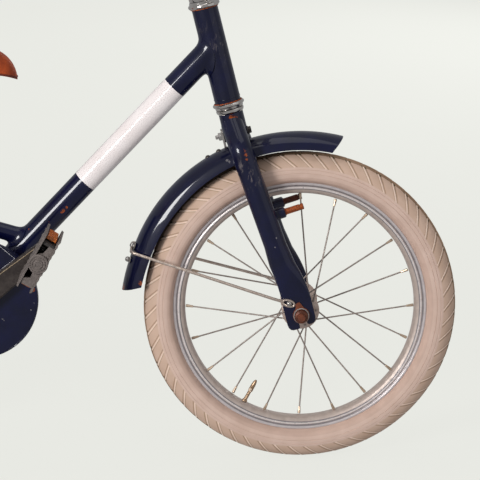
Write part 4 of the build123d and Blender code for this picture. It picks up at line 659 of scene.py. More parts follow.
def section_point(angle, rise):
    """A point of the tyre's section, from the angle round it and the ridge's height there."""
    size = abs(angle)
    height = 0.0
    if size < RIDGE_START:
        height = min(rise, 0.0) - (GROOVE_DEPTH if GROOVE_START < size < TREAD_END else 0.0)
    elif size < RIDGE_END:
        height = rise * min(1.0, (RIDGE_END - size) / RIDGE_FADE)
    elif size in RING_ANGLES:
        height = -GROOVE_DEPTH
    reach = CASING_RADIUS + height
    return SECTION_CENTRE + reach * cos(radians(angle)), reach * sin(radians(angle))


def section_look(size, ridge_look):
    """The look of a strip of the tyre, from its angle round the section."""
    if TREAD_END <= size < RIDGE_START + 4 and ridge_look == GROOVE:
        return NOTCH
    if size < RIDGE_START:
        return TREAD
    if size > BEAD_START:
        return BEAD
    return ridge_look if size < RIDGE_END - 2 else SIDEWALL


steps = [-angle for angle in reversed(SECTION_STEPS[1:])] + list(SECTION_STEPS)
for wheel_name, axle in WHEELS:
    tyre = Shape()
    rows = []
    for n in range(TREAD_REPEATS):
        for share, rise, ridge_look in RIDGE_PROFILE:
            bead_turn = (n + share - 1) * 360 / TREAD_REPEATS
            row = [around(axle, radius, bead_turn, -left) for radius, left in reversed(BEAD_POINTS)]
            for angle in steps:
                swept = max(0.0, min(abs(angle), RIDGE_END) - SWEEP_START)
                sweep = (swept / (RIDGE_END - SWEEP_START)) ** 1.5
                radius, left = section_point(angle, rise)
                row.append(around(axle, radius, (n + share - sweep) * 360 / TREAD_REPEATS, left))
            row += [around(axle, radius, bead_turn, left) for radius, left in BEAD_POINTS]
            rows.append(row)
    tyre.grid(rows, ring=False, loop=True, look=BEAD)
    columns = len(rows[0]) - 1
    for i in range(len(tyre.faces)):
        column = i % columns - len(BEAD_POINTS)
        if 0 <= column < len(steps) - 1:
            middle = abs(steps[column] + steps[column + 1]) / 2
            tyre.looks[i] = section_look(middle, RIDGE_PROFILE[i // columns % len(RIDGE_PROFILE)][2])
    tyre.make(f"{wheel_name}_tyre_treaded", f"{wheel_name}_wheel", TYRE_LOOKS,
              [f"{wheel_name}_tyre"], edge=40)

# rims: a rolled lip, a flank painted grey as shade, a second ridge painted white as highlight, and the bed of
# the spokes painted warm as shade
RIM_STEPS = 192
LIP, FLANK, BED, SECOND_RIDGE = range(4)
RIM_LOOKS = [rim_light, rim_grey_painted_shade, rim_warm_painted_shade, rim_white_painted_highlight]
RIM_BANDS = (
    (LIP, ((161.5, 11.2), (161.5, 12.6), (160.9, 13.4), (159.8, 13.5), (158.6, 13.3), (158.0, 12.8))),
    (FLANK, ((158.0, 12.8), (157.2, 12.0), (156.4, 11.8), (155.8, 12.2))),
    (SECOND_RIDGE, ((155.8, 12.2), (155.0, 12.9), (154.2, 13.0), (153.2, 12.6))),
    (FLANK, ((153.2, 12.6), (152.6, 11.6), (152.0, 11.2))),
    (BED, ((152.0, 11.2), (150.6, 11.0), (148.8, 9.4), (147.2, 7.6), (146.3, 5.2), (146.0, 0.0))),
    (BED, ((161.5, 11.2), (157.0, 11.0), (154.5, 9.6), (154.5, 0.0))),
)
for wheel_name, axle in WHEELS:
    rim = Shape()
    for look, half in RIM_BANDS:
        for side in (-1, 1):
            rim.grid([circle(axle, radius, RIM_STEPS, side * left) for radius, left in half], look=look)
    rim.make(f"{wheel_name}_rim_rolled", f"{wheel_name}_wheel", RIM_LOOKS, [f"{wheel_name}_rim"])

# hubs and spokes: bent spoke ends through the flanges, brass nipples at the rim
SPOKES_PER_FLANGE = 10
SPOKE_TURN = 36.0
SPOKE_RADIUS = 1.0
SPOKE_BEND = 2.4
SPOKE_FACE = 2.45
SPOKE_HEAD_FACE = 1.4
SPOKE_HOLE_INSET = 3.2
SPOKE_END_RADIUS = 145.1
SPOKE_RIM_OFFSET = 3.0
NIPPLE_OUTLINE = ((1.0, -9.6), (1.4, -9.2), (1.6, -6.0), (1.9, -2.5), (1.9, -0.4), (1.5, 0.0))
# half of the front hub's and of the rear hub's outline: radius, distance from the middle plane
HUB_HALVES = {
    "front": ((9.2, 0.0), (9.4, 12.0), (10.0, 22.0), (12.0, 27.0), (16.0, 29.2), (22.4, 29.5), (23.8, 30.2),
              (23.8, 31.8), (22.4, 32.5), (16.0, 32.7), (11.8, 33.6), (11.0, 36.0), (11.0, 44.0),
              (10.2, 45.6), (7.0, 46.0)),
    "rear": ((24.6, 0.0), (24.8, 12.0), (25.8, 20.0), (27.0, 24.6), (32.0, 25.5), (34.0, 26.3), (34.0, 27.7),
             (32.4, 28.5), (26.0, 28.7), (19.0, 30.0), (17.0, 33.0), (17.0, 40.6), (16.0, 41.8), (8.0, 42.0)),
}
# each hub's flanges: distance from the middle plane, radius
FLANGES = {"front": (31.0, 23.0), "rear": (27.0, 34.0)}
for wheel_name, axle in WHEELS:
    hub = Shape()
    half = HUB_HALVES[wheel_name]
    hub.turned(axle, LEFT, [(r, -left) for r, left in reversed(half)] + list(half), 56)
    spokes = Shape()
    flange_offset, flange_radius = FLANGES[wheel_name]
    hole_radius = flange_radius - SPOKE_HOLE_INSET
    for side_name, side in SIDES:
        for n in range(SPOKES_PER_FLANGE):
            outside = 1 if n % 2 else -1
            rim_angle = 90 + (n + (0.5 if side < 0 else 0.0)) * 360 / SPOKES_PER_FLANGE
            hole_angle = rim_angle + side * outside * SPOKE_TURN
            hole = around(axle, hole_radius, hole_angle, side * (flange_offset + outside * SPOKE_FACE))
            head = around(axle, hole_radius, hole_angle, side * (flange_offset - outside * SPOKE_HEAD_FACE))
            end = around(axle, SPOKE_END_RADIUS, rim_angle, side * SPOKE_RIM_OFFSET)
            spokes.tube(rounded([head, hole, end], SPOKE_BEND, 4), SPOKE_RADIUS, 8)
            spokes.dome(head, LEFT * (-side * outside), 1.9, 1.3, sides=8)
            spokes.turned(end, end - hole, NIPPLE_OUTLINE, 8, look=1)
    hub.make(f"{wheel_name}_hub_turned", f"{wheel_name}_wheel", [hub_steel],
             [f"{wheel_name}_hub"])
    spokes.make(f"{wheel_name}_spokes_bent", f"{wheel_name}_wheel", [spoke_steel, pale_brass],
                [f"{wheel_name}_spokes"])

# valves: ring nut, slim stem, hexagon collar and a tapered cap
VALVE_STEM = ((3.4, 0.0), (3.4, 2.0), (2.4, 2.6), (2.2, 12.0), (2.2, 15.5))
VALVE_COLLAR = ((2.4, 15.0), (3.0, 15.6), (3.0, 19.4), (2.4, 20.0))
VALVE_CAP = ((2.7, 19.6), (2.9, 20.6), (2.8, 25.0), (2.2, 29.0), (1.4, 31.4), (0.5, 31.9))
for wheel_name, axle in WHEELS:
    inner, outer = sorted(ends_of(f"{wheel_name}_valve"), key=lambda end: (end - axle).length)
    valve = Shape()
    for outline, sides, look in ((VALVE_STEM, 16, 0), (VALVE_COLLAR, 6, 1), (VALVE_CAP, 16, 0)):
        valve.turned(outer, inner - outer, outline, sides, look)
    valve.make(f"{wheel_name}_valve_stem", f"{wheel_name}_wheel", [brass, pale_brass],
               [f"{wheel_name}_valve"])

# fenders: a rolled shell with slanted tips
FENDER_RADIUS = 224.5
FENDER_SKIRT = 205.0
FENDER_HALF_WIDTH = 28.0
FENDER_WALL = 1.5
FENDER_STEPS = 90
ARCH_STEPS = 12
# the flank from skirt to crease: height above the skirt, distance inside the half width
FENDER_FLANK = ((0.0, 0.0), (2.0, 0.4), (4.0, 1.05), (6.0, 1.8), (8.0, 2.65), (9.4, 3.3))
# the front skirt hangs lower towards the rear: by how much, between which angles
SKIRT_DROP = 4.0
DROP_START = 100.0
DROP_END = 140.0
# and its rear end stands off the wheel: by how much at the end, from which angle
END_FLARE = 3.0
FLARE_START = 158.0
# name, body, axle, angle of each tip, angle of each skirt end, drop of the skirt, flare of the end
FENDERS = (("front", "steering", FRONT_AXLE, (76.1, 174.6), (79.0, 171.7), SKIRT_DROP, END_FLARE),
           ("rear", "frame", REAR_AXLE, (14.0, 178.0), (14.0, 175.1), 0.0, 0.0))
RIVET_ANGLES = (117.4, 121.4)


def fender_section(wall):
    """The fender's section from skirt to skirt, at a depth inside its face, as (radius, left) points."""
    half = [(FENDER_SKIRT + up, FENDER_HALF_WIDTH - wall - inward) for up, inward in FENDER_FLANK]
    crease_up, crease_left = half[-1]
    arch = FENDER_RADIUS - wall - crease_up
    bend = (crease_left ** 2 + arch ** 2) / (2 * arch)
    reach = asin(crease_left / bend)
    for k in range(1, ARCH_STEPS + 1):
        angle = reach * (1 - k / ARCH_STEPS)
        half.append((FENDER_RADIUS - wall - bend * (1 - cos(angle)), bend * sin(angle)))
    return [(r, -left) for r, left in half] + list(reversed(half[:-1]))


for fender_name, body, axle, tips, skirts, drop, flare in FENDERS:
    outer = fender_section(0.0)
    ring = outer + list(reversed(fender_section(FENDER_WALL)))
    count = len(outer)
    shell = Shape()
    rows = []
    for i in range(FENDER_STEPS + 1):
        row = []
        for radius, left in ring:
            height = (radius - FENDER_SKIRT) / (FENDER_RADIUS - FENDER_SKIRT)
            start, end = (blend(skirts[k], tips[k], height) for k in (0, 1))
            turn = blend(start, end, i / FENDER_STEPS)
            lower = drop * (1 - height) * held((turn - DROP_START) / (DROP_END - DROP_START))
            away = flare * max(0.0, (turn - FLARE_START) / (tips[1] - FLARE_START)) ** 1.5
            row.append(around(axle, radius - lower + away, turn, left))
        rows.append(row)
    shell.grid(rows)
    for base in (0, FENDER_STEPS * 2 * count):
        for j in range(count - 1):
            shell.face((base + j, base + j + 1, base + 2 * count - 2 - j, base + 2 * count - 1 - j))
    shell.make(f"{fender_name}_fender_rolled", body, [fender_navy], [f"{fender_name}_fender"],
               edge=40)

fender_rivets = Shape()
for angle in RIVET_ANGLES:
    rivet = around(FRONT_AXLE, FENDER_RADIUS - 0.4, angle)
    fender_rivets.dome(rivet, rivet - FRONT_AXLE, 3.4, 2.8)
fender_rivets.make("fender_rivets", "steering", [dark_steel])

# wire stays with flattened eyes, eye bolts and two ball-headed bolts on the fender
WIRE_RADIUS = 1.9
WIRE_BEND = 8.0
WRAP_RAISE = 1.2
WRAP_LEFT = FENDER_HALF_WIDTH + 3
EYE_LENGTH = 7.0
EYE_WIRE_RADIUS = 1.45
EYE_BOLT_BACK = 1.6
BALL_BOLT_SPREAD = 2.4
BALL_BOLT_LEFT = -9.0
BALL_BOLT = ((4.6, 0.0), (4.6, 0.8), (2.6, 1.2), (3.3, 2.4), (3.5, 3.6), (3.0, 5.2), (1.8, 6.3), (0.5, 6.6))
# name, body, axle, eye, face it lies on, straight run past the plate, angle on the fender
STAYS = (
    ("front", "steering", FRONT_AXLE, steer(FORK_RAKE - 12.4, 0, AXLE_UP + 19.6), 57.0, 20.0, 161.7),
    ("rear", "frame", REAR_AXLE, REAR_AXLE + Vector((4.0, 0, 24.0)), 66.0, 30.0, 150.0),
)
for stay_name, body, axle, eye, face, lead, angle in STAYS:
    wire = Shape()
    wrap = around(axle, FENDER_RADIUS + WIRE_RADIUS + 0.3, angle - WRAP_RAISE)
    way = (wrap - eye).normalized()
    rise = LEFT.cross(way)
    eye_left = face + WIRE_RADIUS
    half = ((eye + way * EYE_LENGTH, eye_left), (eye + way * lead, eye_left), (wrap, WRAP_LEFT))
    corners = [aside(point, -left) for point, left in half]
    corners += [aside(point, left) for point, left in reversed(half)]
    wire.tube(rounded(corners, WIRE_BEND), WIRE_RADIUS, 12)
    for side in (-1, 1):
        eye_middle = aside(eye, side * eye_left)
        loop = [eye_middle + way * (7.6 * cos(turn) - 0.6) + rise * (3.9 * sin(turn)) for turn in turns(28)]
        wire.tube(loop, EYE_WIRE_RADIUS, 8, closed=True)
        wire.bolt(aside(eye - way * EYE_BOLT_BACK, side * face), LEFT * side, 3.6, 4.4, look=1)
        wire.dome(aside(eye - way * EYE_BOLT_BACK, side * (face + 4.2)), LEFT * side, 2.6, 1.3, look=1)
    for offset in (-BALL_BOLT_SPREAD, BALL_BOLT_SPREAD):
        foot = around(axle, FENDER_RADIUS - 0.6, angle + offset, BALL_BOLT_LEFT)
        wire.turned(foot, (foot - axle).normalized(), BALL_BOLT, 18, look=1)
    wire.make(f"{stay_name}_stay_wire", body, [copper_steel, bright],
              [f"{stay_name}_fender_stay"])

# fork blades: oval above, hammered flat to a slotted end below
CROWN_BASE = 221.03
SHOULDER_UP = CROWN_BASE - 7.0
BLADE_ROOT_LEFT = 13.0
BLADE_ROOT_RISE = 22.0
BLADE_HIGH_LEFT = 42.0
BLADE_LOW_LEFT = 46.0
BLADE_LEAN = 0.1
BLADE_BEND = 26.0
BLADE_RADIUS = 12.7
BLADE_HALF_WIDTH = 14.1
BLADE_SET_BACK = 1.4
BLADE_WIDENS = 85.0
BLADE_LOW = 60.0
BLADE_FLAT = 22.0
BLADE_SIDES = 36
BLADE_STEPS = 24
PLATE_HIGH = 14.0
FRONT_PRONG = 14.0
REAR_PRONG = 17.0
PLATE_INNER = 50.0
PLATE_THICKNESS = 7.0
PLATE_FRONT = 17.0
PLATE_REAR = 19.8
SLOT_HALF_WIDTH = 5.0
SLOT_STEPS = 10


def blade_forward(up):
    """How far forward of the steering axis the blade's middle is at a height along it."""
    return FORK_RAKE - BLADE_LEAN * (up - AXLE_UP)


def blade_left(up):
    """How far to the side the blade's middle is at a height along the steering axis."""
    return blend(BLADE_HIGH_LEFT, BLADE_LOW_LEFT, (SHOULDER_UP - up) / (SHOULDER_UP - BLADE_LOW))


def widened(point):
    """A point of a round blade, moved so that the blade is oval and set back a little."""
    off = (point - STEER_ORIGIN).dot(STEER_FORWARD) - blade_forward((point - STEER_ORIGIN).dot(STEER_UP))
    return point + STEER_FORWARD * (off * (BLADE_HALF_WIDTH / BLADE_RADIUS - 1) - BLADE_SET_BACK)


def prong_outline(low, wide):
    """One prong of the slotted end, from the slot round its foot: distance from the slot's middle, height."""
    return [(SLOT_HALF_WIDTH, low + 1.6), (SLOT_HALF_WIDTH + 2.0, low), (wide - 5.9, low),
            (wide - 2.8, low + 1.4), (wide - 0.8, low + 4.4), (wide, low + 9.0), (wide, PLATE_HIGH)]


for side_name, side in SIDES:
    blade = Shape()
    corners = [steer(0, side * BLADE_ROOT_LEFT, CROWN_BASE + BLADE_ROOT_RISE),
               steer(blade_forward(SHOULDER_UP), side * BLADE_HIGH_LEFT, SHOULDER_UP),
               steer(blade_forward(BLADE_WIDENS), side * blade_left(BLADE_WIDENS), BLADE_WIDENS)]
    blade.tube(rounded(corners, BLADE_BEND, 14), BLADE_RADIUS, BLADE_SIDES)
    blade.points = [widened(point) for point in blade.points]
    rows = []
    for i in range(BLADE_STEPS + 1):
        up = blend(BLADE_WIDENS + 1, PLATE_HIGH - 2, i / BLADE_STEPS)
        flat = held((BLADE_LOW - up) / (BLADE_LOW - BLADE_FLAT))
        wide = held((BLADE_WIDENS - up) / (BLADE_WIDENS - PLATE_HIGH)) ** 0.75
        middle_left = blend(blade_left(up), PLATE_INNER + PLATE_THICKNESS / 2, flat)
        middle_forward = blend(blade_forward(up), FORK_RAKE, flat) - BLADE_SET_BACK
        half_thickness = blend(BLADE_RADIUS, PLATE_THICKNESS / 2, flat)
        half_width = blend(BLADE_HALF_WIDTH, (PLATE_FRONT + PLATE_REAR) / 2, wide)
        row = []
        for turn in turns(BLADE_SIDES):
            out = signed_power(sin(turn), blend(1.0, 0.35, flat))
            on = signed_power(cos(turn), blend(1.0, 0.7, flat))
            left = side * (middle_left + half_thickness * out)
            row.append(steer(middle_forward + half_width * on, left, up))
        rows.append(row)
    blade.grid(rows, caps=True)
    outline = prong_outline(AXLE_UP - FRONT_PRONG, PLATE_FRONT)
    outline += [(-f, up) for f, up in reversed(prong_outline(AXLE_UP - REAR_PRONG, PLATE_REAR))]
    for k in reversed(range(SLOT_STEPS + 1)):
        turn = pi * k / SLOT_STEPS
        outline.append((SLOT_HALF_WIDTH * cos(turn), AXLE_UP + SLOT_HALF_WIDTH * sin(turn)))
    flat_end = [steer(FORK_RAKE + f, side * PLATE_INNER, up) for f, up in outline]
    blade.plate(flat_end, LEFT * (side * PLATE_THICKNESS), 0.9)
    blade.make(f"fork_blade_{side_name}_formed", "steering", [fork_navy],
               [f"fork_blade_{side_name}"], edge=40)

# bare brake studs: dark bosses with rusted pins, the far pin painted darker as shade
STUD_BOSS = ((7.0, -11.0), (7.0, 9.6), (6.6, 11.2), (5.6, 12.0), (4.2, 12.0))
STUD_PIN = ((4.6, 11.4), (4.6, 12.8), (4.0, 13.4), (4.0, 30.6), (3.4, 31.4), (3.4, 32.2), (4.0, 33.0),
            (4.0, 35.4), (3.2, 36.0))
STUD_FORWARD = 25.26
STUD_LEFT = 33.0
STUD_UP = 121.5
STUD_RISE = 0.075
# the far stud's pin is a darker copy of the rust: painted shade
stud_looks = {"right": rusty, "left": rust_painted_shade}
stud_way = STEER_FORWARD + STEER_UP * STUD_RISE
for side_name, side in SIDES:
    start = steer(STUD_FORWARD, side * STUD_LEFT, STUD_UP)
    stud = Shape()
    stud.turned(start, stud_way, STUD_BOSS, 32)
    stud.turned(start, stud_way, STUD_PIN, 24, look=1)
    stud.make(f"brake_stud_{side_name}_bare", "steering", [fork_navy, stud_looks[side_name]],
              [f"brake_stud_{side_name}"])

# crown bolt: nut and thread behind, dark head in front
CROWN_RADIUS = 15.5
BRACKET_REAR = 18.0
BOLT_UP = CROWN_BASE + 8.0
BOLT_WASHER = ((5.4, 0.0), (5.4, 1.9), (4.6, 2.0))
bolts = Shape()
bolts.bolt(steer(-BRACKET_REAR, 0, BOLT_UP), -STEER_FORWARD, 5.5, 4.5, stud=2.9)
bolts.turned(steer(CROWN_RADIUS - 1, 0, BOLT_UP), STEER_FORWARD, BOLT_WASHER, 20, look=1)
bolts.bolt(steer(CROWN_RADIUS + 1, 0, BOLT_UP), STEER_FORWARD, 4.8, 3.5, look=1)
bolts.make("crown_bolt_ends", "steering", [bright, dark_steel], ["crown_bolt"])

# headset: bulged chrome cups with rusted seams, a lower race, and a locknut with a ring of flats
# outlines along the steering axis: radius, height
CUP_OUTLINE = ((13.0, 0.0), (17.0, 0.1), (17.6, 0.8), (17.9, 2.4), (18.6, 3.4), (19.6, 4.0), (20.1, 5.2),
               (19.9, 6.6), (18.8, 7.6), (17.2, 8.0), (16.6, 8.2))
CUP_HEIGHT = 8.0
UPPER_CUP_HEIGHT = 9.2
LOWER_RACE = ((13.0, 0.0), (15.8, 0.2), (16.8, 1.2), (17.6, 3.0), (17.6, 5.2), (17.0, 5.6), (13.0, 5.7))
UPPER_RACE = ((13.0, 0.0), (16.6, 0.2), (17.0, 0.8), (17.0, 5.0), (16.4, 5.6), (13.0, 5.7))
LOCKNUT = ((13.0, 0.0), (16.8, 0.0), (17.0, 0.6), (17.0, 6.6), (15.8, 8.0), (12.8, 8.2))
HEAD_LENGTH = 122.6
HEAD_TOP = HEAD_BASE + HEAD_LENGTH
RACE_BASE = CROWN_BASE + 35.0
LOCKNUT_BASE = HEAD_BASE + HEAD_LENGTH + 9.3
SEAM_RADIUS = 17.3
cups = Shape()
cups.turned(steer(0, 0, HEAD_BASE - CUP_HEIGHT), STEER_UP, CUP_OUTLINE, 56)
for seam_up in (HEAD_BASE + 0.2, HEAD_TOP - 0.2):
    cups.tube(steer_ring(SEAM_RADIUS, seam_up, 48), 0.8, 6, look=1, closed=True)
upper_cup = [(radius, UPPER_CUP_HEIGHT - UPPER_CUP_HEIGHT * up / CUP_HEIGHT) for radius, up in CUP_OUTLINE]
cups.turned(steer(0, 0, HEAD_TOP), STEER_UP, upper_cup, 56)
cups.make("headset_cups_bulged", "frame", [chrome, rusty], ["headset_cups"])
races = Shape()
for base, outline, sides in ((RACE_BASE, LOWER_RACE, 56), (LOCKNUT_BASE, UPPER_RACE, 56),
                             (LOCKNUT_BASE + 5.8, LOCKNUT, 8)):
    races.turned(steer(0, 0, base), STEER_UP, outline, sides)
races.make("headset_races_turned", "steering", [chrome], ["headset_races"])

# welds: hollow fillets where one tube meets another, and a ring round the foot of the head tube
HEAD_RADIUS = 16.5
HEAD_RING_UP = HEAD_BASE + 5.5
DOWN_TUBE_RADIUS = 15.9
SHELL_RADIUS = 20.0
SEAT_TUBE_RADIUS = 14.3
BRACE_RADIUS = 10.5
BRACE_FRONT_REACH = 89.3
BRACE_REAR_REACH = 95.0
FILLET_SHARES = (0, 0.2, 0.4, 0.6, 0.8, 1.0)


def weld(shape, start, end, radius, main_place, main_axis, main_radius, size):
    """A fillet where a tube from start to end runs into a main tube."""
    way = (end - start).normalized()
    across = way.orthogonal().normalized()
    beside = way.cross(across)
    main_axis = main_axis.normalized()
    rows = []
    for turn in turns(64):
        out = across * cos(turn) + beside * sin(turn)
        origin = start + out * radius
        offset = origin - main_place
        offset = offset - main_axis * offset.dot(main_axis)
        slant = way - main_axis * way.dot(main_axis)
        half = offset.dot(slant) / slant.length_squared
        room = max(0.0, half * half - (offset.length_squared - main_radius ** 2) / slant.length_squared)
        meet = origin + way * (-half - sqrt(room))
        normal = meet - main_place
        normal = (normal - main_axis * normal.dot(main_axis)).normalized()
        foot = meet + (out - normal * out.dot(normal)) * size + normal * 0.1
        shank = meet - way * size + out * 0.1
        rows.append([blend(blend(shank, meet, s), blend(meet, foot, s), s) for s in FILLET_SHARES])
    shape.grid(rows, ring=False, loop=True)


brace_front = SHELL + down_line * BRACE_FRONT_REACH
brace_rear = SHELL + seat_line * BRACE_REAR_REACH
brace_middle = blend(brace_rear, brace_front, 0.5)
down_middle = blend(SHELL, down_tube_top, 0.6)
seat_middle = SHELL + seat_line * 60.0
welds = Shape()
weld(welds, down_middle, down_tube_top, DOWN_TUBE_RADIUS, steer(0, 0, HEAD_BASE), STEER_UP, HEAD_RADIUS, 9.0)
weld(welds, down_middle, SHELL, DOWN_TUBE_RADIUS, SHELL, LEFT, SHELL_RADIUS, 6.0)
weld(welds, seat_middle, SHELL, SEAT_TUBE_RADIUS, SHELL, LEFT, SHELL_RADIUS, 6.0)
weld(welds, brace_middle, brace_front, BRACE_RADIUS, SHELL, down_line, DOWN_TUBE_RADIUS, 8.0)
weld(welds, brace_middle, brace_rear, BRACE_RADIUS, SHELL, seat_line, SEAT_TUBE_RADIUS, 6.0)
welds.tube(steer_ring(HEAD_RADIUS, HEAD_RING_UP, 56), 0.55, 6, closed=True)
welds.make("tube_welds", "frame", [navy], edge=60)

# front axle and rear axle: cones, washers, chamfered nuts and rusted thread ends
AXLE_RADIUS = 4.75
AXLE_REACH = 16.0
WASHER_RADIUS = 10.6
WASHER_THICKNESS = 1.8
TAB_LENGTH = 16.5
TAB_HALF_WIDTH = 2.2
NUT_COLLAR = ((8.6, 0.0), (9.8, 0.3), (9.8, 2.0), (9.2, 2.6), (8.2, 2.7))
NUT_DOME = ((8.8, 0.0), (8.8, 3.4), (8.0, 5.4), (6.0, 6.6), (4.9, 6.8))
# name, body, axle, outer and inner face of the plate, start of the right and left cone, tab along the blade
AXLES = (("front", "steering", FRONT_AXLE, 57.0, 50.0, (46.3, 46.3), True),
         ("rear", "frame", REAR_AXLE, 66.0, 60.0, (50.5, 51.0), False))
for axle_name, body, axle, face, inner_face, cones, tabbed in AXLES:
    spindle = Shape()
    end = face + AXLE_REACH
    shank = face + AXLE_REACH - 0.8
    spindle.turned(axle, LEFT, ((4.2, -end), (AXLE_RADIUS, -shank), (AXLE_RADIUS, shank), (4.2, end)), 28)
    for (_, side), cone_start in zip(SIDES, cones):
        cone = ((7.2, 0.0), (8.5, 1.2), (8.5, inner_face - cone_start))
        spindle.turned(aside(axle, side * cone_start), LEFT * side, cone, 28, look=1)
        outline = circle(axle, WASHER_RADIUS, 32, side * face)
        if tabbed:
            lean = degrees(atan2(STEER_UP.z, STEER_UP.x))
            tab = aside(axle, side * face) + STEER_UP * TAB_LENGTH
            bend = [lean + blend(32, 328, k / 28) for k in range(29)]
            outline = [around(axle, WASHER_RADIUS, turn, side * face) for turn in bend]
            outline += [tab + STEER_FORWARD * TAB_HALF_WIDTH, tab + STEER_UP * 0.8,
                        tab - STEER_FORWARD * TAB_HALF_WIDTH]
        spindle.plate(outline, LEFT * (side * WASHER_THICKNESS), 0.4)
        spindle.turned(aside(axle, side * (face + 1.7)), LEFT * side, NUT_COLLAR, 32, look=2)
        spindle.turned(aside(axle, side * (face + 4.2)), LEFT * side, NUT_DOME, 28, look=3)
    spindle.make(f"{axle_name}_axle_threaded", body, [axle_rust, dark_steel, bright, nut_rust],
                 [f"{axle_name}_axle"])

# chain: waisted plates on rollers, round the chainring and the sprocket
CHAIN_LINE = 46.0
CHAIN_PITCH = 12.7
RING_TEETH = 32
SPROCKET_TEETH = 16
LINK_END_RADIUS = 3.8
LINK_HALF_WAIST = 2.7
# how far a link's plates reach from the chain's middle plane: inner links, then outer links
LINK_FACES = ((1.65, 2.7), (2.75, 3.8))
ROLLER = ((2.6, 0.0), (2.8, 0.3), (2.8, 2.9), (2.6, 3.2))
PIN_HEAD = ((1.7, 0.0), (1.7, 0.1), (1.2, 0.1))
TOOTH_ROOM = 9.1
ring_radius = CHAIN_PITCH / 2 / sin(pi / RING_TEETH)
sprocket_radius = CHAIN_PITCH / 2 / sin(pi / SPROCKET_TEETH)
drive = SHELL - REAR_AXLE
drive_angle = degrees(atan2(drive.z, drive.x))
drive_taper = degrees(asin((ring_radius - sprocket_radius) / drive.length))
upper_angle = drive_angle + 90 + drive_taper
lower_angle = drive_angle - 90 - drive_taper
run_count = sqrt(drive.length ** 2 - (ring_radius - sprocket_radius) ** 2) / CHAIN_PITCH
sprocket_count = SPROCKET_TEETH * (180 - 2 * drive_taper) / 360
ring_count = RING_TEETH * (180 + 2 * drive_taper) / 360
loop_count = 2 * run_count + sprocket_count + ring_count
LINKS = 2 * round(loop_count / 2)


def chain_pin(number):
    """Where a pin of the chain is, counted from the top of the chainring."""
    count = number * loop_count / LINKS
    if count < run_count:
        start = around(SHELL, ring_radius, upper_angle)
        return blend(start, around(REAR_AXLE, sprocket_radius, upper_angle), count / run_count)
    count -= run_count
    if count < sprocket_count:
        return around(REAR_AXLE, sprocket_radius, upper_angle + count * 360 / SPROCKET_TEETH)
    count -= sprocket_count
    if count < run_count:
        start = around(REAR_AXLE, sprocket_radius, lower_angle)
        return blend(start, around(SHELL, ring_radius, lower_angle), count / run_count)
    count -= run_count
    return around(SHELL, ring_radius, lower_angle + count * 360 / RING_TEETH)


pins = [chain_pin(n) for n in range(LINKS)]
chain = Shape()
for n, here in enumerate(pins):
    there = pins[(n + 1) % LINKS]
    way = (there - here).normalized()
    rise = LEFT.cross(way)
    middle = (here + there) / 2
    plate_in, plate_out = LINK_FACES[n % 2]
    reach = (there - here).length / 2
    outline = []
    for end in (1, -1):
        for k in range(7):
            turn = radians(-105 + 35 * k)
            outline.append((end * (reach + LINK_END_RADIUS * cos(turn)), end * LINK_END_RADIUS * sin(turn)))
        outline.append((0.0, end * LINK_HALF_WAIST))
    for side in (-1, 1):
        face = side * plate_in - CHAIN_LINE
        corners = [aside(middle, face) + way * f + rise * u for f, u in outline]
        chain.plate(corners, LEFT * (side * (plate_out - plate_in)), 0.25)
    room = min((here - SHELL).length - ring_radius, (here - REAR_AXLE).length - sprocket_radius)
    if room > TOOTH_ROOM:
        chain.turned(aside(here, -CHAIN_LINE - 1.6), LEFT, ROLLER, 10)
    for side in (-1, 1):
        chain.turned(aside(here, side * 3.7 - CHAIN_LINE), LEFT * side, PIN_HEAD, 8, look=1)
chain.make("chain_links", "frame", [chain_steel, dark_steel], ["chain"])

# chain guard: a rolled edge round its disc, and a fine pale line round the tail's panel
GUARD_RADIUS = 75.0
# corners of the pale line in the photograph: upper, tip, lower
GUARD_LINE_MARKS = ((0, 246.5), (14.7, 258.7), (0, 270.3))
# the panel's front and rear end: place from the crank axle, radius
PANEL_ENDS = ((0.0, 31.0, 38.0), (-150.0, 26.0, 12.0))
guard_face = points_of("chain_guard")[:, 1].min()
guard_edge = Shape()
guard_edge.tube(circle(SHELL, GUARD_RADIUS - 1.2, 96, guard_face + 0.5), 0.7, 8, closed=True)
corner_upper, corner_tip, corner_lower = (photo_place(mark, guard_face) for mark in GUARD_LINE_MARKS)
panel_ends = [(SHELL.x + forward, SHELL.z + up, radius) for forward, up, radius in PANEL_ENDS]
panel = [Vector((forward, guard_face, up)) for forward, up in loop_round(panel_ends, 18)]
panel = [point for point in panel if point.x < corner_upper.x - 2]
panel_middle = panel_ends[1][1]
panel_upper = sorted((p for p in panel if p.z > panel_middle), key=lambda p: -p.x)
panel_lower = sorted((p for p in panel if p.z <= panel_middle), key=lambda p: p.x)
panel_path = [corner_tip, corner_upper] + panel_upper + panel_lower + [corner_lower]
guard_edge.tube([aside(p, guard_face + 0.15) for p in panel_path], 0.45, 6, look=1, closed=True)
guard_edge.make("guard_lines", "frame", [guard_navy, pin_line])

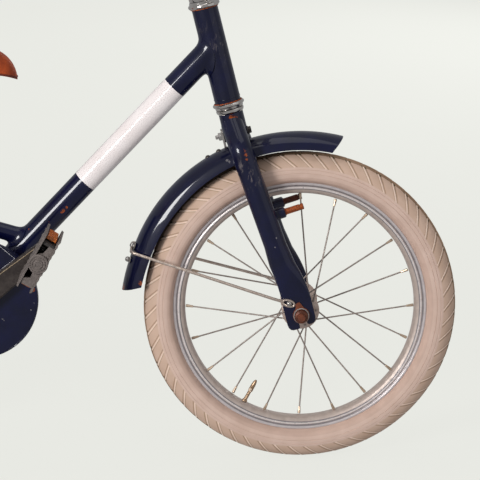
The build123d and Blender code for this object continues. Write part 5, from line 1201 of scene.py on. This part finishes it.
# pedals: two toothed rails joined by webs and a barrel, a ribbed cap, and reflectors between the rails' ends
PEDAL_LENGTH = 76.0
PEDAL_WIDTH = 66.0
PEDAL_HALF_THICKNESS = 11.0
PEDAL_TILT = radians(60.0)
RAIL_THICKNESS = 3.6
TOOTH_HEIGHTS = (1.4, 0.3, 1.1, 0.0, 1.4, 0.5, 0.9, 0.2, 1.4, 0.1, 1.2, 0.6, 1.4, 0.0, 1.0, 0.4, 1.3, 0.2,
                 1.4, 0.5)
TOOTH_LIMIT = 1.4
WEB_HALF_LENGTH = 25.0
WEB_THICKNESS = 4.0
REFLECTOR_PLACE = 30.5
REFLECTOR_START = 15.0
REFLECTOR_WIDTH = 36.0
BARREL = ((6.0, 0.0), (8.4, 0.4), (9.6, 2.0), (9.6, PEDAL_WIDTH - 3.0))
CAP_OUTLINE = ((12.0, -5.0), (12.0, 1.2), (11.2, 2.0), (10.2, 2.0), (9.8, 1.2), (8.8, 1.2), (8.4, 2.3),
               (7.2, 2.3), (6.8, 1.5), (5.6, 1.5), (5.2, 2.7), (3.6, 2.9), (3.2, 2.1), (0.8, 2.1))
# outlines seen from the pedal's end: along it, across it
WEB = ((WEB_HALF_LENGTH, -8.2), (WEB_HALF_LENGTH, -1.5), (14.0, 1.0), (9.0, 8.2), (-9.0, 8.2), (-13.0, 1.0),
       (-20.0, 0.0), (-24.0, 8.2), (-31.0, 8.2), (-31.0, -8.2))
CROSS_BAR = ((WEB_HALF_LENGTH - 1.5, -8.2), (WEB_HALF_LENGTH - 1.5, 8.2), (WEB_HALF_LENGTH + 2.5, 8.2),
             (WEB_HALF_LENGTH + 2.5, -8.2))
REFLECTOR = ((REFLECTOR_PLACE - 1.0, -6.6), (REFLECTOR_PLACE - 1.0, 6.6), (REFLECTOR_PLACE + 3.4, 6.2),
             (REFLECTOR_PLACE + 4.0, 5.6), (REFLECTOR_PLACE + 4.0, -5.6), (REFLECTOR_PLACE + 3.4, -6.2))
long_way = Vector((cos(PEDAL_TILT), 0, sin(PEDAL_TILT)))
flat_way = Vector((-sin(PEDAL_TILT), 0, cos(PEDAL_TILT)))


def rail_outline(side):
    """One rail seen from the pedal's end, as (along, across) points: smooth inside, worn teeth outside."""
    inner = PEDAL_HALF_THICKNESS - RAIL_THICKNESS + 0.6
    outline = [(-PEDAL_LENGTH / 2 + 1, side * inner), (PEDAL_LENGTH / 2 - 1, side * inner)]
    for k, height in enumerate(TOOTH_HEIGHTS):
        place = PEDAL_LENGTH / 2 - PEDAL_LENGTH * (k + 0.5) / len(TOOTH_HEIGHTS)
        outline.append((place, side * (PEDAL_HALF_THICKNESS - TOOTH_LIMIT + height)))
    return outline


def pedal_points(origin, outline, end=1):
    """An outline across the pedal set at a point of its axis; end -1 turns it to the other end."""
    return [origin + long_way * (end * a) + flat_way * b for a, b in outline]


for side_name, side in SIDES:
    across_pedal = points_of(f"pedal_{side_name}")[:, 1]
    start = across_pedal.max() if side < 0 else across_pedal.min()
    out = LEFT * side
    root = aside(place_of(f"{side_name}_pedal_spin"), start)
    pedal = Shape()
    pedal.turned(root + out * 0.4, out, BARREL, 28, look=1)
    for flat_side in (-1, 1):
        pedal.plate(pedal_points(root, rail_outline(flat_side)), out * PEDAL_WIDTH, 0.5)
    for begin in (1.5, PEDAL_WIDTH - 6.5):
        pedal.plate(pedal_points(root + out * begin, WEB), out * WEB_THICKNESS, 0.5)
    for end in (-1, 1):
        pedal.plate(pedal_points(root + out * 4.0, CROSS_BAR, end), out * (PEDAL_WIDTH - 8.0), 0.5, look=1)
    pedal.turned(root + out * (PEDAL_WIDTH - 0.05), out, CAP_OUTLINE, 40)
    pedal.make(f"pedal_{side_name}_toothed", f"{side_name}_pedal", [pedal_grey, pedal_shade],
               [f"pedal_{side_name}"], edge=30)
    glass = Shape()
    for end in (-1, 1):
        glass.plate(pedal_points(root + out * REFLECTOR_START, REFLECTOR, end), out * REFLECTOR_WIDTH, 0.6)
    glass.make(f"pedal_reflectors_{side_name}_cut", f"{side_name}_pedal", [amber],
               [f"pedal_reflectors_{side_name}"])

# cranks: eased arms with a painted highlight along the upper edge, a bolt cap at the root and the pedal's
# spindle at the tip
CRANK_INNER = 69.0
CRANK_THICKNESS = 12.0
CRANK_OUTER = CRANK_INNER + CRANK_THICKNESS
CRANK_ROOT_RADIUS = 15.0
CRANK_TIP_RADIUS = 11.0
PEDAL_SPINDLE = ((7.4, 0.0), (7.4, 2.6), (4.5, 3.0), (4.5, 70.0))
for side_name, side in SIDES:
    tip = place_of(f"{side_name}_pedal_spin")
    arm = Shape()
    outline = loop_round([(SHELL.x, SHELL.z, CRANK_ROOT_RADIUS), (tip.x, tip.z, CRANK_TIP_RADIUS)])
    arm.plate([Vector((forward, side * CRANK_INNER, up)) for forward, up in outline],
              LEFT * (side * CRANK_THICKNESS), 2.0)
    along = (aside(tip, 0) - aside(SHELL, 0)).normalized()
    above = LEFT.cross(along) if LEFT.cross(along).z > 0 else along.cross(LEFT)
    # a pale line along the upper edge: a painted highlight
    highlight_line = [aside(SHELL, side * CRANK_OUTER) + along * 4.0 + above * 12.2,
                 aside(tip, side * CRANK_OUTER) - along * 2.0 + above * 8.4]
    arm.tube(highlight_line, 0.55, 6, look=2)
    arm.bolt(aside(SHELL, side * (CRANK_OUTER - 0.1)), LEFT * side, 9.0, 3.6, look=1, sides=24)
    arm.turned(aside(tip, side * (CRANK_OUTER - 0.5)), LEFT * side, PEDAL_SPINDLE, 20, look=1)
    arm.make(f"crank_{side_name}_eased", "cranks", [crank_metal, dark_steel, edge_painted_highlight],
             [f"crank_{side_name}"])

# saddle: a crowned leather pad with a bound lower edge
SADDLE_SECTIONS = 56
SADDLE_COLUMNS = 44
NOSE_RADIUS = 22.0
REAR_RADIUS = 42.0
WAIST_DEPTH = 7.0
NOSE_RISE_LENGTH = 52
TAIL_RISE_LENGTH = 45
DIP_DEPTH = 4.0
DIP_START = 40
DIP_LENGTH = 130
NOSE_SKIRT = 2.6
SKIRT_RISE = 8.8
SKIRT_RISE_LENGTH = 13.0
PAN_FRONT = 40.0
PAN_REAR = 8.0
PAN_FADE = 25.0
EDGE_HEIGHT = 2.6
saddle_points = points_of("saddle")
saddle_low = saddle_points.min(0)
saddle_high = saddle_points.max(0)
saddle_length = saddle_high[0] - saddle_low[0]
saddle_depth = saddle_high[2] - saddle_low[2]
cheek = saddle_high[1] - REAR_RADIUS
nose_middle = Vector((saddle_high[0] - NOSE_RADIUS, 0, 0))
rear_middle = Vector((saddle_low[0] + REAR_RADIUS, cheek, 0))
flank_lean = asin((REAR_RADIUS - NOSE_RADIUS) / (nose_middle - rear_middle).length)
flank_turn = atan2(cheek, nose_middle.x - rear_middle.x) + flank_lean


def saddle_half_width(x):
    """The saddle's half width: a round nose, waisted flanks and round cheeks."""
    nose_edge = nose_middle.x + NOSE_RADIUS * sin(flank_turn)
    rear_edge = rear_middle.x + REAR_RADIUS * sin(flank_turn)
    if x > nose_edge:
        return sqrt(max(0.0, NOSE_RADIUS ** 2 - (x - nose_middle.x) ** 2))
    if x < rear_edge:
        return cheek + sqrt(max(0.0, REAR_RADIUS ** 2 - (x - rear_middle.x) ** 2))
    share = (nose_edge - x) / (nose_edge - rear_edge)
    wide = cheek + REAR_RADIUS * cos(flank_turn)
    return blend(NOSE_RADIUS * cos(flank_turn), wide, share) - WAIST_DEPTH * sin(pi * share) ** 2


def saddle_top_height(x):
    """The height of the saddle's middle line above its lowest edge."""
    nose = saddle_high[0] - x
    tail = x - saddle_low[0]
    front = 1.0
    if nose <= NOSE_RISE_LENGTH:
        front = (1 - (1 - nose / NOSE_RISE_LENGTH) ** 2.3) ** 0.5
    back = 1.0
    if tail <= TAIL_RISE_LENGTH:
        back = 0.55 + 0.45 * (1 - (1 - tail / TAIL_RISE_LENGTH) ** 2) ** 0.5
    dip = 0.0
    if DIP_START < nose < DIP_START + DIP_LENGTH:
        dip = DIP_DEPTH * max(0.0, sin(pi * (nose - DIP_START) / DIP_LENGTH))
    return saddle_depth * front * back - dip


def saddle_skirt(x):
    """The height of the saddle's lower edge: it rises behind the nose and falls again at the cheeks."""
    rise = SKIRT_RISE * (1 - exp((x - saddle_high[0]) / SKIRT_RISE_LENGTH))
    return NOSE_SKIRT + rise * min(1.0, 0.4 + (x - saddle_low[0]) / 110.0)


def saddle_pan(x):
    """How much of the saddle's hollow the pan over the rails fills, from 0 at the nose to 1."""
    front = held((saddle_high[0] - x - PAN_FRONT) / PAN_FADE)
    return front * held((x - saddle_low[0] - PAN_REAR) / PAN_FADE)


def saddle_share(step):
    """How far along the saddle a section lies, closer together at its two ends."""
    return 0.5 - 0.5 * cos(pi * step / SADDLE_SECTIONS)


pad = Shape()
rows = []
for i in range(SADDLE_SECTIONS + 1):
    x = saddle_low[0] + saddle_length * (0.0002 + 0.9996 * saddle_share(i))
    width = max(0.3, saddle_half_width(x))
    top = max(5.0, saddle_top_height(x))
    skirt = 0.4 + saddle_skirt(x)
    edge = skirt + EDGE_HEIGHT
    row = []
    for turn in turns(SADDLE_COLUMNS):
        out = signed_power(cos(turn), 0.6)
        if sin(turn) >= 0:
            up = edge + (top - edge) * sin(turn) ** 0.85
        else:
            sink = abs(sin(turn))
            out *= 1 - 0.1 * sink
            hollow = held((sink - 0.5) / 0.4)
            up = blend(edge, skirt, min(1.0, sink * 3.6)) - blend(0.6, skirt - 0.4, saddle_pan(x)) * hollow
        row.append(Vector((x, width * out, saddle_low[2] + up)))
    rows.append(row)
pad.grid(rows, caps=True)
piece = pad.make("saddle_pad", "frame", [saddle_brown], ["saddle"], edge=70)

binding = Shape()
edge_row = []
for side in (1, -1):
    for i in range(SADDLE_SECTIONS + 1):
        x = saddle_low[0] + 1.0 + (saddle_length - 2.2) * saddle_share(i if side > 0 else SADDLE_SECTIONS - i)
        edge = saddle_low[2] + saddle_skirt(x) + 2.2
        edge_row.append(Vector((x, side * max(0.0, saddle_half_width(x) - 0.9), edge)))
smooth_row = [p for k, p in enumerate(edge_row) if (p - edge_row[k - 1]).length > 0.4]
binding.tube(smooth_row, 1.5, 8, closed=True)
binding.make("saddle_binding", "frame", [saddle_dark])

# seat: the collar's two ears with their bolt, and the nuts of the saddle clamp
EAR = ((-7, 0), (7, 0), (7, 9), (-7, 9))
EAR_BACK = 17.0
EAR_BOLT_BACK = 22.0
seat_bolts = Shape()
collar = middle_of("seat_collar")
rearward = seat_line.cross(LEFT)
for side in (-1, 1):
    ear = collar - rearward * -EAR_BACK + LEFT * (side * 2.0)
    seat_bolts.plate([ear + seat_line * a + rearward * b for a, b in EAR], LEFT * (side * 4.0), 0.6)
seat_bolts.bolt(collar + rearward * EAR_BOLT_BACK + LEFT * 6.0, LEFT, 4.6, 4.0)
seat_bolts.bolt(collar + rearward * EAR_BOLT_BACK - LEFT * 6.0, -LEFT, 4.6, 4.0, stud=2.6)
clamp = middle_of("saddle_clamp")
clamp_half = points_of("saddle_clamp")[:, 1].max()
for side in (-1, 1):
    seat_bolts.bolt(aside(clamp, side * (clamp_half - 0.2)), LEFT * side, 7.0, 5.0, stud=3.2)
seat_bolts.make("seat_bolts", "frame", [bright])

# stem: the bolt down its middle, and the bar clamp's plate and bolt below
STEM_TOP = LOCKNUT_BASE + 14.0 + 62.0
STEM_REACH = 38
BAR_UP = STEM_TOP - 11
CLAMP_PLATE = ((-5, -9), (5, -9), (5, 9), (-5, 9))
bar_bolts = Shape()
bar_bolts.bolt(steer(0, 0, STEM_TOP - 0.2), STEER_UP, 6.2, 4.5)
bar_bolts.plate([steer(STEM_REACH + a, left, BAR_UP - 16.2) for a, left in CLAMP_PLATE], STEER_UP * -3.6, 0.5)
bar_bolts.bolt(steer(STEM_REACH, 0, BAR_UP - 19.6), -STEER_UP, 5.0, 4.2)
bar_bolts.make("stem_bolts", "steering", [bright])

# grips: ringed sleeves with an end flange
GRIP_RINGS = 11
GRIP_FLANGE = ((11.2, 0.0), (18.6, 0.2), (19.0, 1.2), (19.0, 3.8), (18.2, 5.0), (15.2, 5.6))
# one ring: radius, share of the way to the next ring
GRIP_RING = ((14.9, 0.0), (15.0, 0.62), (14.0, 0.72), (14.0, 0.9))
# the far end: radius, distance before the end
GRIP_END = ((14.9, 12), (15.0, 4), (14.4, 1.4), (12.6, 0.2), (4.0, 0.0), (3.0, 1.0))
for side_name, side in SIDES:
    near, far = sorted(ends_of(f"grip_{side_name}"), key=lambda end: -end.x)
    run = (far - near).length
    step = (run - 20) / GRIP_RINGS
    outline = list(GRIP_FLANGE)
    for n in range(GRIP_RINGS):
        outline += [(radius, 7.0 + n * step + share * step) for radius, share in GRIP_RING]
    outline += [(radius, run - before) for radius, before in GRIP_END]
    grip = Shape()
    grip.turned(near, far - near, outline)
    grip.make(f"grip_{side_name}_ringed", "steering", [grip_brown], [f"grip_{side_name}"],
              edge=30)

# side stand: a ribbed rubber foot
FOOT_CAP = ((6.6, 0.0), (8.4, 0.6), (8.4, 4.0), (7.8, 4.6), (8.6, 5.4), (8.6, 9.0), (8.0, 9.6), (9.0, 10.4),
            (9.4, 16.0), (7.0, 17.0))
leg = points_of("stand_leg")
foot = Vector(leg[leg[:, 2] < leg[:, 2].min() + 4.0].mean(0))
leg_way = (foot - place_of("stand_fold")).normalized()
foot_cap = Shape()
foot_cap.turned(foot - leg_way * 24.0, leg_way, FOOT_CAP, 24)
foot_cap.make("stand_foot_cap", "stand", [stand_rubber])

# the floor and a round backdrop that glow in one pale paper tone, in metres
FLOOR_REACH = 30
WALL_RADIUS = 20
WALL_HEIGHT = 20
WALL_SIDES = 48
PAPER_GLOW = 0.93
paper_look = Look("floor_paper", roughness=0.9, specular=0.0)
paper = paper_look.mix(paper_look.noise(400, 2), linear(234, 235, 229), linear(233, 234, 228))
paper_look.colour(paper_look.mix(PAPER_GLOW, paper, (0, 0, 0, 1)))
paper_look.put(paper, paper_look.shader.inputs["Emission Color"])
paper_look.put(PAPER_GLOW, paper_look.shader.inputs["Emission Strength"])
floor_points = [(FLOOR_REACH * x, FLOOR_REACH * y, 0) for x, y in ((-1, -1), (1, -1), (1, 1), (-1, 1))]
wall_points = []
for z in (0, WALL_HEIGHT):
    wall_points += [(WALL_RADIUS * cos(a), WALL_RADIUS * sin(a), z) for a in turns(WALL_SIDES)]
wall_faces = []
for k in range(WALL_SIDES):
    beside = (k + 1) % WALL_SIDES
    wall_faces.append((k, beside, WALL_SIDES + beside, WALL_SIDES + k))
for stage_name, points, faces in (("floor", floor_points, [(0, 1, 2, 3)]),
                                  ("backdrop", wall_points, wall_faces)):
    stage_mesh = bpy.data.meshes.new(stage_name)
    stage_mesh.from_pydata(points, [], faces)
    stage_mesh.materials.append(paper_look.material)
    stage = bpy.data.objects.new(stage_name, stage_mesh)
    stage.visible_shadow = stage_name == "floor"
    stage.visible_glossy = False
    stage.visible_diffuse = False
    bpy.context.scene.collection.objects.link(stage)

# lights: name, place, aimed at, width, height, power
LIGHTS = (
    ("key", (-1.27, -1.88, 1.19), (0.1, 0, 0.38), 0.7, 0.7, 40),
    ("overhead", (0.2, 0.1, 2.8), (0.1, 0, 0.3), 2.4, 1.6, 11),
    ("front_fill", (2.4, -1.6, 1.2), (0.2, 0, 0.35), 2.4, 2.0, 4),
    ("back_fill", (1.2, 2.4, 0.8), (0.0, 0, 0.38), 1.4, 0.8, 34),
)
WORLD_COLOUR = (0.97, 0.98, 1.0, 1.0)
WORLD_STRENGTH = 0.38
for light_name, place, aim, width, height, power in LIGHTS:
    light = bpy.data.lights.new(light_name, "AREA")
    light.shape = "RECTANGLE"
    light.size = width
    light.size_y = height
    light.energy = power
    lamp = bpy.data.objects.new(light_name, light)
    aim_turn = (Vector(aim) - Vector(place)).to_track_quat("-Z", "Y").to_matrix().to_4x4()
    lamp.matrix_world = Matrix.Translation(place) @ aim_turn
    lamp.visible_glossy = light_name != "back_fill"
    bpy.context.scene.collection.objects.link(lamp)

world = bpy.data.worlds.new("studio")
world.use_nodes = True
world.node_tree.nodes["Background"].inputs["Color"].default_value = WORLD_COLOUR
world.node_tree.nodes["Background"].inputs["Strength"].default_value = WORLD_STRENGTH
bpy.context.scene.world = world
bpy.context.scene.view_settings.view_transform = "Standard"

# the camera at the photograph's view
camera_data = bpy.data.cameras.new("photo_camera")
camera_data.sensor_width = 36
camera_data.lens = PHOTO_FOCAL / PHOTO_SIZE * camera_data.sensor_width
camera_data.clip_end = 60
camera = bpy.data.objects.new("photo_camera", camera_data)
camera_turn = Matrix((SIDEWAYS, UPWARDS, -AHEAD)).transposed().to_4x4()
camera.matrix_world = Matrix.Translation(PARK @ (CAMERA_AT * MM)) @ PARK.to_3x3().to_4x4() @ camera_turn
bpy.context.scene.collection.objects.link(camera)
bpy.context.scene.camera = camera
